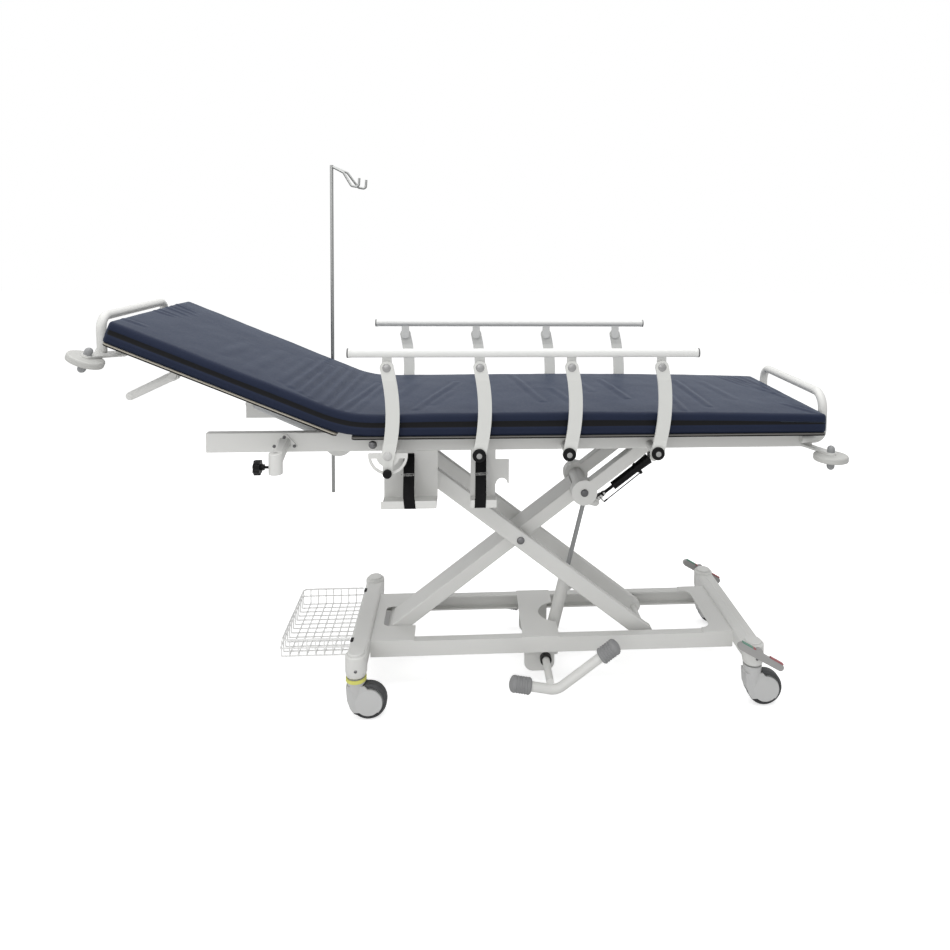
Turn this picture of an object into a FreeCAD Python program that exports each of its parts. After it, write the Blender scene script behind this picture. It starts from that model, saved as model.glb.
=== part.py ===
"""Patient transport stretcher: wheeled base, scissor lift, tilting deck, backrest and side rails.

Frame: +X towards the foot end, +Y towards the far side, +Z up, millimetres.
Origin: on the floor, under the centre of the overall box.
"""
import FreeCAD
import Part
import math
import os

# Clearances between parts
FIT = 0.05
GAP = 0.3
STEP_FOLDER = "parts"

# Base frame
COLUMN_HEAD_X = -318.0
COLUMN_FOOT_X = 806.0
COLUMN_Y = 228.0
COLUMN_R = 30.0
COLUMN_BOTTOM_Z = 122.0
COLUMN_TOP_Z = 184.0
COLUMN_CAP_R = 23.0
COLUMN_CAP_H = 5.0
BEAM_HALF_WIDTH = 28.0
BEAM_BOTTOM_Z = 130.0
BEAM_TOP_Z = 178.0
BEAM_CORNER_R = 9.0
BEAM_WALL = 3.0
RAIL_OUTER_Y = 143.0
RAIL_BOTTOM_Z = 120.0
RAIL_HEIGHT = 45.0
RAIL_FLANGE = 26.0
RAIL_WALL = 4.0
RAIL_LIP = 5.0
COVER_THICKNESS = 3.0
HEAD_COVER_LENGTH = 125.0
COVER_SLOT_WIDTH = 118.0
COVER_SLOT_END_X = -262.0
FOOT_GUSSET_LENGTH = 58.0
FOOT_GUSSET_R = 30.0

# Pump, its pedal and the ram
PUMP_PLATE_HEAD_X = 150.0
PUMP_PLATE_FOOT_X = 236.0
PUMP_HANGER_Y = 112.0
PUMP_HANGER_THICKNESS = 5.0
PUMP_HANGER_BOTTOM_Z = 46.0
PUMP_HANGER_R = 26.0
PUMP_BODY_HEAD_X = 172.0
PUMP_BODY_FOOT_X = 268.0
PUMP_BODY_HALF_WIDTH = 48.0
PUMP_BODY_BOTTOM_Z = 58.0
PUMP_BODY_TOP_Z = 104.0
PEDAL_SHAFT_X = 221.0
PEDAL_SHAFT_Z = 86.0
PEDAL_SHAFT_R = 11.0
PEDAL_BUSH_R = 17.0
PEDAL_BUSH_LENGTH = 16.0
PEDAL_BAR_Y = 236.0
PEDAL_BAR_R = 13.5
PEDAL_ELBOW = (240.0, 62.0)
PEDAL_SHORT_END = (136.0, 82.0)
PEDAL_LONG_END = (388.0, 173.0)
PEDAL_BEND_R = 45.0
PEDAL_PAD_LENGTH = 62.0
PEDAL_PAD_R = 23.0
PEDAL_PAD_RIBS = 5
RAM_BASE_X = 245.0
RAM_BASE_Z = 80.0
RAM_PIN_R = 7.0
RAM_CYLINDER_R = 19.0
RAM_CYLINDER_BORE_R = 15.0
RAM_CYLINDER_LENGTH = 210.0
RAM_GLAND_R = 13.5
RAM_GLAND_HEIGHT = 9.0
RAM_ROD_R = 7.0
RAM_ROD_LENGTH = 306.0
RAM_EYE_R = 13.0
RAM_EYE_HALF_WIDTH = 11.0

# Wire basket
BASKET_HEAD_X = -540.0
BASKET_FOOT_X = -346.5
BASKET_HALF_WIDTH = 150.0
BASKET_BOTTOM_Z = 134.0
BASKET_RIM_Z = 184.0
BASKET_WIRE = 3.0
BASKET_RIM_WIRE = 5.0
BASKET_PITCH = 25.0

# Casters
WHEEL_R = 50.0
WHEEL_CORE_R = 40.0
WHEEL_WIDTH = 30.0
WHEEL_TREAD_R = 7.0
CASTER_TRAIL = 35.0
CASTER_STEM_R = 10.0
CASTER_STEM_TOP_Z = 157.0
CASTER_HOUSING_TOP_Z = 118.0
CASTER_HOUSING_R = 26.5
CASTER_CHEEK_THICKNESS = 5.0
CASTER_GUARD_R = 38.0
CASTER_WHEEL_CLEARANCE = 1.2
CASTER_AXLE_R = 6.0
CASTER_RING_HEIGHT = 9.0
CASTER_RING_OUTER_R = 28.3

# Brake pedals
BRAKE_SHAFT_Z = 171.0
BRAKE_SHAFT_R = 8.0
BRAKE_LEVER_Y = 262.0
BRAKE_LEVER_THICKNESS = 11.0
BRAKE_LEVER_HALF_LENGTH = 76.0
BRAKE_LEVER_HALF_DEPTH = 10.0
BRAKE_LEVER_OFFSET = 9.0
BRAKE_LEVER_ANGLE = 30.0
BRAKE_HUB_R = 14.0
BRAKE_PAD_LENGTH = 42.0
BRAKE_PAD_THICKNESS = 3.0

# Scissor lift
LIFT_ANGLE = 37.7
SCISSOR_LOWER_HALF = 480.0
SCISSOR_UPPER_HALF = 530.0
SCISSOR_BASE_X = -235.0
SCISSOR_PIN_R = 10.0
INNER_ARM_WIDTH = 104.0
INNER_ARM_DEPTH = 40.0
INNER_ARM_WALL = 3.0
INNER_ARM_HUB_R = 17.0
CROSS_TUBE_DISTANCE = 716.0
CROSS_TUBE_R = 25.0
CROSS_TUBE_HALF_LENGTH = 66.0
OUTER_ARM_Y = 83.0
OUTER_ARM_DEPTH = 48.0
OUTER_ARM_THICKNESS = 22.0
OUTER_ARM_WALL = 3.0
UPPER_ARM_Y = 86.0
UPPER_ARM_WIDTH = 36.0
UPPER_ARM_DEPTH = 40.0
UPPER_HUB_R = 38.0
UPPER_TIP_R = 19.0
BOLT_HEAD_R = 11.5
BOLT_HEAD_HEIGHT = 6.0
BASE_ROLLER_R = 18.0
DECK_ROLLER_R = 14.0
ROLLER_WIDTH = 14.0
ROLLER_AXLE_R = 8.0
LUG_Y = 15.0
LUG_THICKNESS = 6.0
RAM_TOP_FROM_TUBE = (18.5, -48.35)
TILT_SPRING_LOW_FROM_TUBE = (48.5, -59.35)
TILT_SPRING_HIGH_FROM_ROLLER = (-5.1, -100.1)
TILT_SPRING_R = 13.0
TILT_SPRING_BORE_R = 10.0
TILT_SPRING_BODY_LENGTH = 155.0
TILT_SPRING_ROD_R = 5.0
TILT_SPRING_ROD_LENGTH = 176.0
TILT_SPRING_PIN_R = 5.0
TILT_SPRING_EYE_R = 10.0

# Deck
DECK_RAIL_OUTER_Y = 203.0
DECK_RAIL_WIDTH = 25.0
DECK_RAIL_BELOW_PIN = 18.14
DECK_RAIL_HEIGHT = 54.0
DECK_RAIL_WALL = 2.5
DECK_RAIL_HEAD_X = -719.0
DECK_RAIL_FOOT_X = 972.0
CROSS_BAR_WIDTH = 30.0
CROSS_BAR_HEIGHT = 4.0
CROSS_BAR_STATIONS = (-200.0, 60.0, 300.0, 480.0, 640.0, 790.0)
END_BAR_WIDTH = 25.0
END_BAR_HEIGHT = 30.0
CHANNEL_WEB_Y = 127.0
CHANNEL_FLANGE = 20.0
CHANNEL_WALL = 3.0
CHANNEL_HEAD_X = 455.0
CHANNEL_FOOT_X = 806.0
CHANNEL_BELOW_PIN = 20.0
CHANNEL_ABOVE_PIN = 15.0
BOARD_THICKNESS = 6.0
BOARD_HALF_WIDTH = 283.0
SEAT_FOOT_X = 974.0
MATTRESS_THICKNESS = 58.5
MATTRESS_CORNER_R = 14.0
HANDLE_R = 12.5
HANDLE_SEAT = 2.0
HANDLE_LEG_LENGTH = 40.0
HANDLE_FOOT_X = 994.0
HANDLE_FOOT_RISE = 101.0
HANDLE_BEND_R = 45.0
HANDLE_FOOT_BEND_R = 24.0

# Backrest, hinged on the deck
BACK_HINGE_X = -338.0
BACK_ANGLE = 22.5
BACK_FOLD = 37.5
BACK_LENGTH = 662.0
BACK_HINGE_GAP = 4.0
BACK_KNUCKLE_WALL = 3.0
BACK_KNOB_R = 12.0
BACK_BOARD_START = 24.0
CUSHION_START = 12.5
BACK_FRAME_OUTER_Y = 174.0
BACK_FRAME_WIDTH = 22.0
BACK_FRAME_HEIGHT = 20.0
BACK_PIN_R = 6.0
BACK_STRUT_BAR_HEIGHT = 12.0
BACK_HANDLE_OVERHANG = 17.5
BACK_HANDLE_RISE = 44.9
BACK_HANDLE_LEAN = 23.2
STRUT_LOW_BACK = 40.0
STRUT_LOW_RISE = 10.0
STRUT_HIGH_ALONG = 285.0
STRUT_HIGH_DROP = 48.8
STRUT_Y = -125.0
STRUT_R = 13.5
STRUT_BORE_R = 12.1
STRUT_BODY_LENGTH = 196.0
STRUT_ROD_R = 3.6
STRUT_ROD_LENGTH = 200.0
STRUT_PIN_R = 5.0
STRUT_EYE_R = 10.0
STRUT_LUG_R = 42.0
RELEASE_ARM_Y = 150.0
RELEASE_DISTANCE = 500.0
RELEASE_LENGTH = 137.0
RELEASE_ANGLE = 25.5
RELEASE_DROP = 47.0
RELEASE_R = 12.0
RELEASE_BEND_R = 16.0

# Corner bumpers
BUMPER_R = 46.0
BUMPER_THICKNESS = 17.0
BUMPER_EDGE_R = 4.0
BUMPER_Y = 285.0
BUMPER_FOOT_X = 987.0
BUMPER_PIN_R = 5.0
BUMPER_CAP_R = 10.5
BUMPER_CAP_HEIGHT = 20.0
BUMPER_LOW_CAP_HEIGHT = 26.0
BUMPER_FOOT_DROP = 7.0
BUMPER_HEAD_DROP = 53.2
BUMPER_HEAD_OVERHANG = 20.36
BUMPER_ARM_THICKNESS = 6.0
BUMPER_ARM_WIDTH = 26.0

# Side rails
RAIL_BAR_Y = 317.0
RAIL_BAR_RISE = 39.0
RAIL_BAR_R = 11.5
RAIL_BAR_HEAD_X = -326.0
RAIL_BAR_FOOT_X = 597.0
RAIL_BAR_CAP_LENGTH = 9.0
POST_COUNT = 4
POST_FIRST_X = -225.0
POST_SPACING = 241.0
POST_LOW_Y = 292.0
POST_LOW_RISE = 13.0
POST_HEIGHT = 239.0
POST_WIDTH = 36.0
POST_BULGE = 14.0
POST_THICKNESS = 7.0
POST_TAIL = 44.0
POST_PIN_R = 6.0
POST_BOLT_R = 11.0
POST_DISC_R = 18.0
POST_DISC_THICKNESS = 6.0
TAB_THICKNESS = 4.0
TAB_WIDTH = 26.0
QUADRANT_R = 52.0
QUADRANT_BAND = 14.0
QUADRANT_THICKNESS = 4.0
PLUNGER_R = 12.0
PLUNGER_LENGTH = 15.0
PLUNGER_PIN_R = 4.0

# Sockets for the infusion pole, and the pole
SOCKET_NEAR_X = -512.0
SOCKET_FAR_X = -468.0
SOCKET_Y = 302.0
SOCKET_R = 18.0
SOCKET_BORE_R = 6.0
SOCKET_DROP = 28.0
SOCKET_HEIGHT = 56.0
SOCKET_FLANGE_SIZE = 30.0
SOCKET_FLANGE_THICKNESS = 5.0
SOCKET_SCREW_RISE = 18.0
SOCKET_SCREW_R = 3.5
KNOB_R = 20.5
KNOB_LOBES = 7
KNOB_THICKNESS = 17.0
KNOB_REACH = 19.5
POLE_CLEARANCE = 0.3
POLE_BELOW_SOCKET = 261.0
POLE_LENGTH = 1109.0
POLE_HOOK_REACH = 92.0
POLE_HOOK_R = 4.0

# Bottle holders under the near rail
HOLDER_THICKNESS = 2.0
HOLDER_BACK_Y = 188.0
HOLDER_FRONT_Y = 276.0
HOLDER_DROP = 136.0
HOLDER_LIP = 21.0
HOLDER_WIDE_X = (-245.0, -97.0)
HOLDER_NARROW_X = (-6.0, 64.0)
HOLDER_EAR_REACH = 38.0
HOLDER_EAR_DROPS = (100.0, 30.0)
STRAP_WIDTH = 30.0
STRAP_THICKNESS = 3.0

# Worked out from the driving sizes
RAIL_MID_Z = RAIL_BOTTOM_Z + RAIL_HEIGHT / 2
RAIL_TOP_Z = RAIL_BOTTOM_Z + RAIL_HEIGHT
RAIL_INNER_Y = RAIL_OUTER_Y - RAIL_FLANGE
BEAM_HEAD_FACE_X = COLUMN_HEAD_X + BEAM_HALF_WIDTH
BEAM_FOOT_FACE_X = COLUMN_FOOT_X - BEAM_HALF_WIDTH
LIFT_RAD = math.radians(LIFT_ANGLE)
SCISSOR_BASE = (SCISSOR_BASE_X, RAIL_MID_Z)
CROSSING = (
    SCISSOR_BASE_X + SCISSOR_LOWER_HALF * math.cos(LIFT_RAD),
    RAIL_MID_Z + SCISSOR_LOWER_HALF * math.sin(LIFT_RAD),
)
BASE_ROLLER = (SCISSOR_BASE_X + 2 * SCISSOR_LOWER_HALF * math.cos(LIFT_RAD), RAIL_MID_Z)
DECK_PIVOT = (
    CROSSING[0] - SCISSOR_UPPER_HALF * math.cos(LIFT_RAD),
    CROSSING[1] + SCISSOR_UPPER_HALF * math.sin(LIFT_RAD),
)
DECK_ROLLER = (CROSSING[0] + SCISSOR_UPPER_HALF * math.cos(LIFT_RAD), DECK_PIVOT[1])
CROSS_TUBE = (
    SCISSOR_BASE_X + CROSS_TUBE_DISTANCE * math.cos(LIFT_RAD),
    RAIL_MID_Z + CROSS_TUBE_DISTANCE * math.sin(LIFT_RAD),
)
RAM_BASE = (RAM_BASE_X, RAM_BASE_Z)
RAM_TOP = (CROSS_TUBE[0] + RAM_TOP_FROM_TUBE[0], CROSS_TUBE[1] + RAM_TOP_FROM_TUBE[1])
TILT_SPRING_LOW = (CROSS_TUBE[0] + TILT_SPRING_LOW_FROM_TUBE[0],
    CROSS_TUBE[1] + TILT_SPRING_LOW_FROM_TUBE[1])
TILT_SPRING_HIGH = (DECK_ROLLER[0] + TILT_SPRING_HIGH_FROM_ROLLER[0],
    DECK_ROLLER[1] + TILT_SPRING_HIGH_FROM_ROLLER[1])
DECK_RAIL_BOTTOM_Z = DECK_PIVOT[1] - DECK_RAIL_BELOW_PIN
DECK_RAIL_TOP_Z = DECK_RAIL_BOTTOM_Z + DECK_RAIL_HEIGHT
HANDLE_FOOT_TOP_Z = DECK_RAIL_TOP_Z + HANDLE_FOOT_RISE
BOARD_TOP_Z = DECK_RAIL_TOP_Z + BOARD_THICKNESS
BACK_HINGE = (BACK_HINGE_X, DECK_RAIL_TOP_Z + BOARD_THICKNESS / 2)
BACK_RAD = math.radians(BACK_ANGLE)
STRUT_LOW = (BACK_HINGE_X - STRUT_LOW_BACK, DECK_RAIL_BOTTOM_Z + STRUT_LOW_RISE)
STRUT_HIGH = (
    BACK_HINGE_X - STRUT_HIGH_ALONG * math.cos(BACK_RAD) - STRUT_HIGH_DROP * math.sin(BACK_RAD),
    BACK_HINGE[1] + STRUT_HIGH_ALONG * math.sin(BACK_RAD) - STRUT_HIGH_DROP * math.cos(BACK_RAD),
)
POST_LOW_Z = DECK_RAIL_BOTTOM_Z + POST_LOW_RISE
POST_TOP_Z = POST_LOW_Z + POST_HEIGHT
RAIL_BAR_Z = POST_TOP_Z + RAIL_BAR_RISE
SOCKET_BOTTOM_Z = DECK_RAIL_BOTTOM_Z - SOCKET_DROP
SOCKET_TOP_Z = SOCKET_BOTTOM_Z + SOCKET_HEIGHT
SOCKET_SCREW_Z = SOCKET_BOTTOM_Z + SOCKET_SCREW_RISE
POLE_BOTTOM_Z = SOCKET_BOTTOM_Z - POLE_BELOW_SOCKET
POLE_TOP_Z = POLE_BOTTOM_Z + POLE_LENGTH
HOLDER_BOTTOM_Z = DECK_RAIL_BOTTOM_Z - HOLDER_DROP
HOLDER_EAR_Z = (DECK_RAIL_BOTTOM_Z - HOLDER_EAR_DROPS[0], DECK_RAIL_BOTTOM_Z - HOLDER_EAR_DROPS[1])
MATTRESS_BOTTOM_Z = BOARD_TOP_Z + GAP
BUMPER_MID_Z = DECK_RAIL_BOTTOM_Z - BUMPER_FOOT_DROP
HANDLE_LEG_Y = DECK_RAIL_OUTER_Y + HANDLE_R - HANDLE_SEAT
SIDES = (("near", -1.0), ("far", 1.0))


def vec(x, y, z):
    return FreeCAD.Vector(x, y, z)


def box(x0, x1, y0, y1, z0, z1):
    """Block between two corners."""
    low = vec(min(x0, x1), min(y0, y1), min(z0, z1))
    return Part.makeBox(abs(x1 - x0), abs(y1 - y0), abs(z1 - z0), low)


def rod(start, end, radius):
    """Round bar between two points."""
    axis = end.sub(start)
    return Part.makeCylinder(radius, axis.Length, start, axis)


def rod_y(point, y0, y1, radius):
    """Round bar along Y through a point (x, z)."""
    return rod(vec(point[0], min(y0, y1), point[1]), vec(point[0], max(y0, y1), point[1]), radius)


def ring_y(point, y0, y1, outer, inner):
    """Round sleeve along Y."""
    return rod_y(point, y0, y1, outer).cut(rod_y(point, min(y0, y1) - 1, max(y0, y1) + 1, inner))


def rod_z(x, y, z0, z1, radius):
    return rod(vec(x, y, z0), vec(x, y, z1), radius)


def plate_xz(points, y0, y1):
    """Flat plate: an outline of (x, z) points, thick between y0 and y1."""
    low, high = min(y0, y1), max(y0, y1)
    corners = [vec(x, low, z) for x, z in points]
    face = Part.Face(Part.makePolygon(corners + [corners[0]]))
    return face.extrude(vec(0, high - low, 0))


def plate_yz(points, x0, x1):
    """Folded sheet: an outline of (y, z) points, long between x0 and x1."""
    corners = [vec(x0, y, z) for y, z in points]
    face = Part.Face(Part.makePolygon(corners + [corners[0]]))
    return face.extrude(vec(x1 - x0, 0, 0))


def plate_xy(points, z0, z1):
    """Flat plate: an outline of (x, y) points, thick between z0 and z1."""
    corners = [vec(x, y, z0) for x, y in points]
    face = Part.Face(Part.makePolygon(corners + [corners[0]]))
    return face.extrude(vec(0, 0, z1 - z0))


def link_xz(a, b, ra, rb, y0, y1):
    """Flat link with round ends of radius ra and rb about the (x, z) points a and b."""
    dx, dz = b[0] - a[0], b[1] - a[1]
    length = math.hypot(dx, dz)
    along = math.atan2(dz, dx)
    lean = math.acos((ra - rb) / length)
    low, high = min(y0, y1), max(y0, y1)

    def rim(centre, radius, angle):
        return vec(centre[0] + radius * math.cos(angle), low, centre[1] + radius * math.sin(angle))

    up, down = along + lean, along - lean
    edges = [
        Part.LineSegment(rim(a, ra, up), rim(b, rb, up)).toShape(),
        Part.Arc(rim(b, rb, up), rim(b, rb, along), rim(b, rb, down)).toShape(),
        Part.LineSegment(rim(b, rb, down), rim(a, ra, down)).toShape(),
        Part.Arc(rim(a, ra, down), rim(a, ra, along + math.pi), rim(a, ra, up)).toShape(),
    ]
    return Part.Face(Part.Wire(edges)).extrude(vec(0, high - low, 0))


def fuse(shapes):
    """One solid from shapes that touch or overlap."""
    whole = shapes[0]
    if len(shapes) > 1:
        whole = whole.multiFuse(list(shapes[1:]))
    return whole.removeSplitter()


def smooth_path(points, bends):
    """Wire through the points with a tangent arc of its own radius at each corner."""
    edges = []
    start = points[0]
    for before, corner, after, radius in zip(points, points[1:], points[2:], bends):
        back = before.sub(corner).normalize()
        ahead = after.sub(corner).normalize()
        half = back.getAngle(ahead) / 2
        trim = radius / math.tan(half)
        first = corner.add(FreeCAD.Vector(back).multiply(trim))
        last = corner.add(FreeCAD.Vector(ahead).multiply(trim))
        inward = back.add(ahead).normalize()
        reach = radius / math.sin(half) - radius
        middle = corner.add(FreeCAD.Vector(inward).multiply(reach))
        edges.append(Part.LineSegment(start, first).toShape())
        edges.append(Part.Arc(first, middle, last).toShape())
        start = last
    edges.append(Part.LineSegment(start, points[-1]).toShape())
    return Part.Wire(edges)


def bent_bar(points, radius, bend):
    """Round bar along straight runs joined by arcs."""
    path = smooth_path(points, [bend] * (len(points) - 2))
    start = points[0]
    section = Part.Wire(Part.makeCircle(radius, start, points[1].sub(start)))
    return path.makePipeShell([section], True, True)


def revolve_y(point, profile):
    """Solid of revolution about the Y axis through (x, z); profile points are (radius, y)."""
    corners = [vec(point[0] + r, y, point[1]) for r, y in profile]
    face = Part.Face(Part.makePolygon(corners + [corners[0]]))
    return face.revolve(vec(point[0], 0, point[1]), vec(0, 1, 0), 360)


def revolve_z(x, y, profile):
    """Solid of revolution about a vertical axis; profile points are (radius, z)."""
    corners = [vec(x + r, y, z) for r, z in profile]
    face = Part.Face(Part.makePolygon(corners + [corners[0]]))
    return face.revolve(vec(x, y, 0), vec(0, 0, 1), 360)


def dome_y(point, y_base, direction, radius, height):
    """Low domed bolt head standing on the plane y_base."""
    steps = 4
    profile = [(0, y_base), (radius, y_base)]
    for step in range(1, steps):
        angle = math.pi / 2 * step / steps
        profile.append((radius * math.cos(angle), y_base + direction * height * math.sin(angle)))
    profile.append((0, y_base + direction * height))
    return revolve_y(point, profile)


def box_beam(length, depth, width, wall, corner):
    """Hollow box section along +X from the origin, centred on it."""
    outer = box(0, length, -width / 2, width / 2, -depth / 2, depth / 2)
    outer = outer.makeFillet(corner, [e for e in outer.Edges if abs(e.tangentAt(e.FirstParameter).x) > 0.9])
    inner = box(-1, length + 1, wall - width / 2, width / 2 - wall, wall - depth / 2, depth / 2 - wall)
    return outer.cut(inner)


def along_arm(shape, pivot, angle):
    """Turns a shape built along +X by an angle in the XZ plane and moves it to a pivot."""
    placed = shape.copy()
    placed.rotate(vec(0, 0, 0), vec(0, 1, 0), -angle)
    placed.translate(vec(pivot[0], 0, pivot[1]))
    return placed


def heading(a, b):
    """Angle in degrees from (x, z) point a to b, above +X."""
    return math.degrees(math.atan2(b[1] - a[1], b[0] - a[0]))


def distance(a, b):
    return math.hypot(b[0] - a[0], b[1] - a[1])


def mirrored(shape):
    """The same piece on the other side of the stretcher."""
    return shape.mirror(vec(0, 0, 0), vec(0, 1, 0))


def both_sides(shape):
    return [shape, mirrored(shape)]


def tilt_with_back(shape):
    """Takes a piece drawn on the flat backrest to the raised one."""
    raised = shape.copy()
    raised.rotate(vec(BACK_HINGE[0], 0, BACK_HINGE[1]), vec(0, 1, 0), BACK_ANGLE)
    return raised


def on_back(along, up):
    """(x, z) of a point of the raised backrest, given along it from the hinge and above the board."""
    x = BACK_HINGE[0] - along * math.cos(BACK_RAD) + up * math.sin(BACK_RAD)
    z = BACK_HINGE[1] + along * math.sin(BACK_RAD) + up * math.cos(BACK_RAD)
    return (x, z)


def base_rails():
    """Two long channels open towards each other, with the shaft that the inner arm turns on."""
    outer, inner = RAIL_OUTER_Y, RAIL_INNER_Y
    low, high = RAIL_BOTTOM_Z, RAIL_TOP_Z
    wall = RAIL_WALL
    section = [
        (-outer, low), (-inner, low), (-inner, low + RAIL_LIP), (-inner - wall / 2, low + RAIL_LIP),
        (-inner - wall / 2, low + wall), (wall - outer, low + wall), (wall - outer, high - wall),
        (-inner - wall / 2, high - wall), (-inner - wall / 2, high - RAIL_LIP), (-inner, high - RAIL_LIP),
        (-inner, high), (-outer, high),
    ]
    rail = plate_yz(section, BEAM_HEAD_FACE_X, BEAM_FOOT_FACE_X)
    shaft = rod_y(SCISSOR_BASE, -outer + wall, outer - wall, SCISSOR_PIN_R)
    collars = [
        ring_y(SCISSOR_BASE, side * (INNER_ARM_WIDTH / 2 + GAP), side * (outer - wall),
        SCISSOR_PIN_R + 5, SCISSOR_PIN_R - 1)
        for side in (-1, 1)
    ]
    return both_sides(rail) + [fuse([shaft] + collars)]


def column(x, y):
    """Upright that a caster turns in, with its cap and stem bore."""
    profile = [
        (0, COLUMN_BOTTOM_Z), (COLUMN_R - 5, COLUMN_BOTTOM_Z), (COLUMN_R - 2, COLUMN_BOTTOM_Z + 4),
        (COLUMN_R, BEAM_BOTTOM_Z + 6), (COLUMN_R, COLUMN_TOP_Z - 4), (COLUMN_R - 4, COLUMN_TOP_Z),
        (COLUMN_CAP_R, COLUMN_TOP_Z), (COLUMN_CAP_R, COLUMN_TOP_Z + COLUMN_CAP_H - 2),
        (COLUMN_CAP_R - 2, COLUMN_TOP_Z + COLUMN_CAP_H), (0, COLUMN_TOP_Z + COLUMN_CAP_H),
    ]
    return revolve_z(x, y, profile)


def cross_member(x, shaft_bore):
    """Hollow beam across the base between two caster columns."""
    width, height = 2 * BEAM_HALF_WIDTH, BEAM_TOP_Z - BEAM_BOTTOM_Z
    beam = box(x - BEAM_HALF_WIDTH, x + BEAM_HALF_WIDTH, -COLUMN_Y, COLUMN_Y, BEAM_BOTTOM_Z, BEAM_TOP_Z)
    beam = beam.makeFillet(BEAM_CORNER_R,
        [e for e in beam.Edges if abs(e.tangentAt(e.FirstParameter).y) > 0.9])
    hollow = box(
        x - width / 2 + BEAM_WALL, x + width / 2 - BEAM_WALL, -COLUMN_Y + COLUMN_R, COLUMN_Y - COLUMN_R,
        BEAM_BOTTOM_Z + BEAM_WALL, BEAM_BOTTOM_Z + height - BEAM_WALL,
    )
    member = fuse([beam, column(x, -COLUMN_Y), column(x, COLUMN_Y)]).cut(hollow)
    for side in (-1, 1):
        bore = rod_z(x, side * COLUMN_Y, COLUMN_BOTTOM_Z - 1, CASTER_STEM_TOP_Z + 1, CASTER_STEM_R + FIT)
        member = member.cut(bore)
    if shaft_bore:
        reach = COLUMN_Y + COLUMN_R + 1
        member = member.cut(rod_y((x, BRAKE_SHAFT_Z), -reach, reach, BRAKE_SHAFT_R + FIT))
    return member


def head_cover_plate():
    """Plate on the rails at the head end, with the slot that the inner arm comes out of."""
    x0 = BEAM_HEAD_FACE_X
    x1 = x0 + HEAD_COVER_LENGTH
    half = COVER_SLOT_WIDTH / 2
    plate = box(x0, x1, -RAIL_OUTER_Y, RAIL_OUTER_Y, RAIL_TOP_Z, RAIL_TOP_Z + COVER_THICKNESS)
    slot = box(COVER_SLOT_END_X, x1 + 1, -half, half, RAIL_TOP_Z - 1, RAIL_TOP_Z + COVER_THICKNESS + 1)
    corners = [e for e in slot.Edges if abs(e.tangentAt(e.FirstParameter).z) > 0.9 and e.BoundBox.XMax < x1]
    return plate.cut(slot.makeFillet(16, corners))


def foot_gusset():
    """Plate that stiffens the rails at the foot end, with two round inner corners."""
    x1 = BEAM_FOOT_FACE_X
    x0 = x1 - FOOT_GUSSET_LENGTH
    z0, z1 = RAIL_TOP_Z, RAIL_TOP_Z + COVER_THICKNESS
    plate = box(x0, x1, -RAIL_OUTER_Y, RAIL_OUTER_Y, z0, z1)
    for side in (-1, 1):
        y = side * (RAIL_OUTER_Y - RAIL_FLANGE)
        corner = box(x0 - FOOT_GUSSET_R, x0, y - side * FOOT_GUSSET_R, side * RAIL_OUTER_Y, z0, z1)
        round_cut = rod_z(x0 - FOOT_GUSSET_R, y - side * FOOT_GUSSET_R, z0 - 1, z1 + 1, FOOT_GUSSET_R)
        plate = plate.fuse(corner.cut(round_cut))
    return plate.removeSplitter()


def pump_housing():
    """Cross plate with a round cut-out, two hangers that carry the pedal shaft, and the pump block."""
    x0, x1 = PUMP_PLATE_HEAD_X, PUMP_PLATE_FOOT_X
    z0, z1 = RAIL_TOP_Z, RAIL_TOP_Z + COVER_THICKNESS
    top = box(x0, x1 + 22, -RAIL_OUTER_Y, RAIL_OUTER_Y, z0, z1)
    cut_centre = RAM_BASE_X + 26
    top = top.cut(rod_z(cut_centre, 0, z0 - 1, z1 + 1, 62))
    hangers = []
    for side in (-1, 1):
        y0 = side * PUMP_HANGER_Y
        y1 = y0 - side * PUMP_HANGER_THICKNESS
        hanger = box(x0 + 8, x1 + 12, y0, y1, PUMP_HANGER_BOTTOM_Z, z0)
        bottom = [
            e for e in hanger.Edges
            if abs(e.tangentAt(e.FirstParameter).y) > 0.9 and e.BoundBox.ZMax < PUMP_HANGER_BOTTOM_Z + 1
        ]
        hanger = hanger.makeFillet(PUMP_HANGER_R, bottom)
        bush_end = y0 + side * PEDAL_BUSH_LENGTH
        bush = rod_y((PEDAL_SHAFT_X, PEDAL_SHAFT_Z), y0, bush_end, PEDAL_BUSH_R)
        hangers += [hanger, bush]
    body = box(
        PUMP_BODY_HEAD_X, PUMP_BODY_FOOT_X, -PUMP_BODY_HALF_WIDTH, PUMP_BODY_HALF_WIDTH,
        PUMP_BODY_BOTTOM_Z, PUMP_BODY_TOP_Z,
    )
    body = body.makeFillet(8, [e for e in body.Edges if abs(e.tangentAt(e.FirstParameter).z) > 0.9])
    arms = box(
        PUMP_BODY_HEAD_X + 10, PUMP_BODY_HEAD_X + 34, -PUMP_HANGER_Y, PUMP_HANGER_Y,
        PUMP_BODY_BOTTOM_Z + 8, PUMP_BODY_TOP_Z - 8,
    )
    pocket = box(
        RAM_BASE_X - 24, RAM_BASE_X + 24, -RAM_CYLINDER_R - 2, RAM_CYLINDER_R + 2,
        PUMP_BODY_BOTTOM_Z - 1, PUMP_BODY_TOP_Z + 1,
    )
    housing = fuse([top, arms, body] + hangers).cut(pocket)
    reach = PUMP_HANGER_Y + PEDAL_BUSH_LENGTH + 1
    shaft_hole = rod_y((PEDAL_SHAFT_X, PEDAL_SHAFT_Z), -reach, reach, PEDAL_SHAFT_R + FIT)
    housing = housing.cut(shaft_hole)
    pin = rod_y(RAM_BASE, -PUMP_BODY_HALF_WIDTH + 4, PUMP_BODY_HALF_WIDTH - 4, RAM_PIN_R)
    return [housing.fuse(pin).removeSplitter()]



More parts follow.
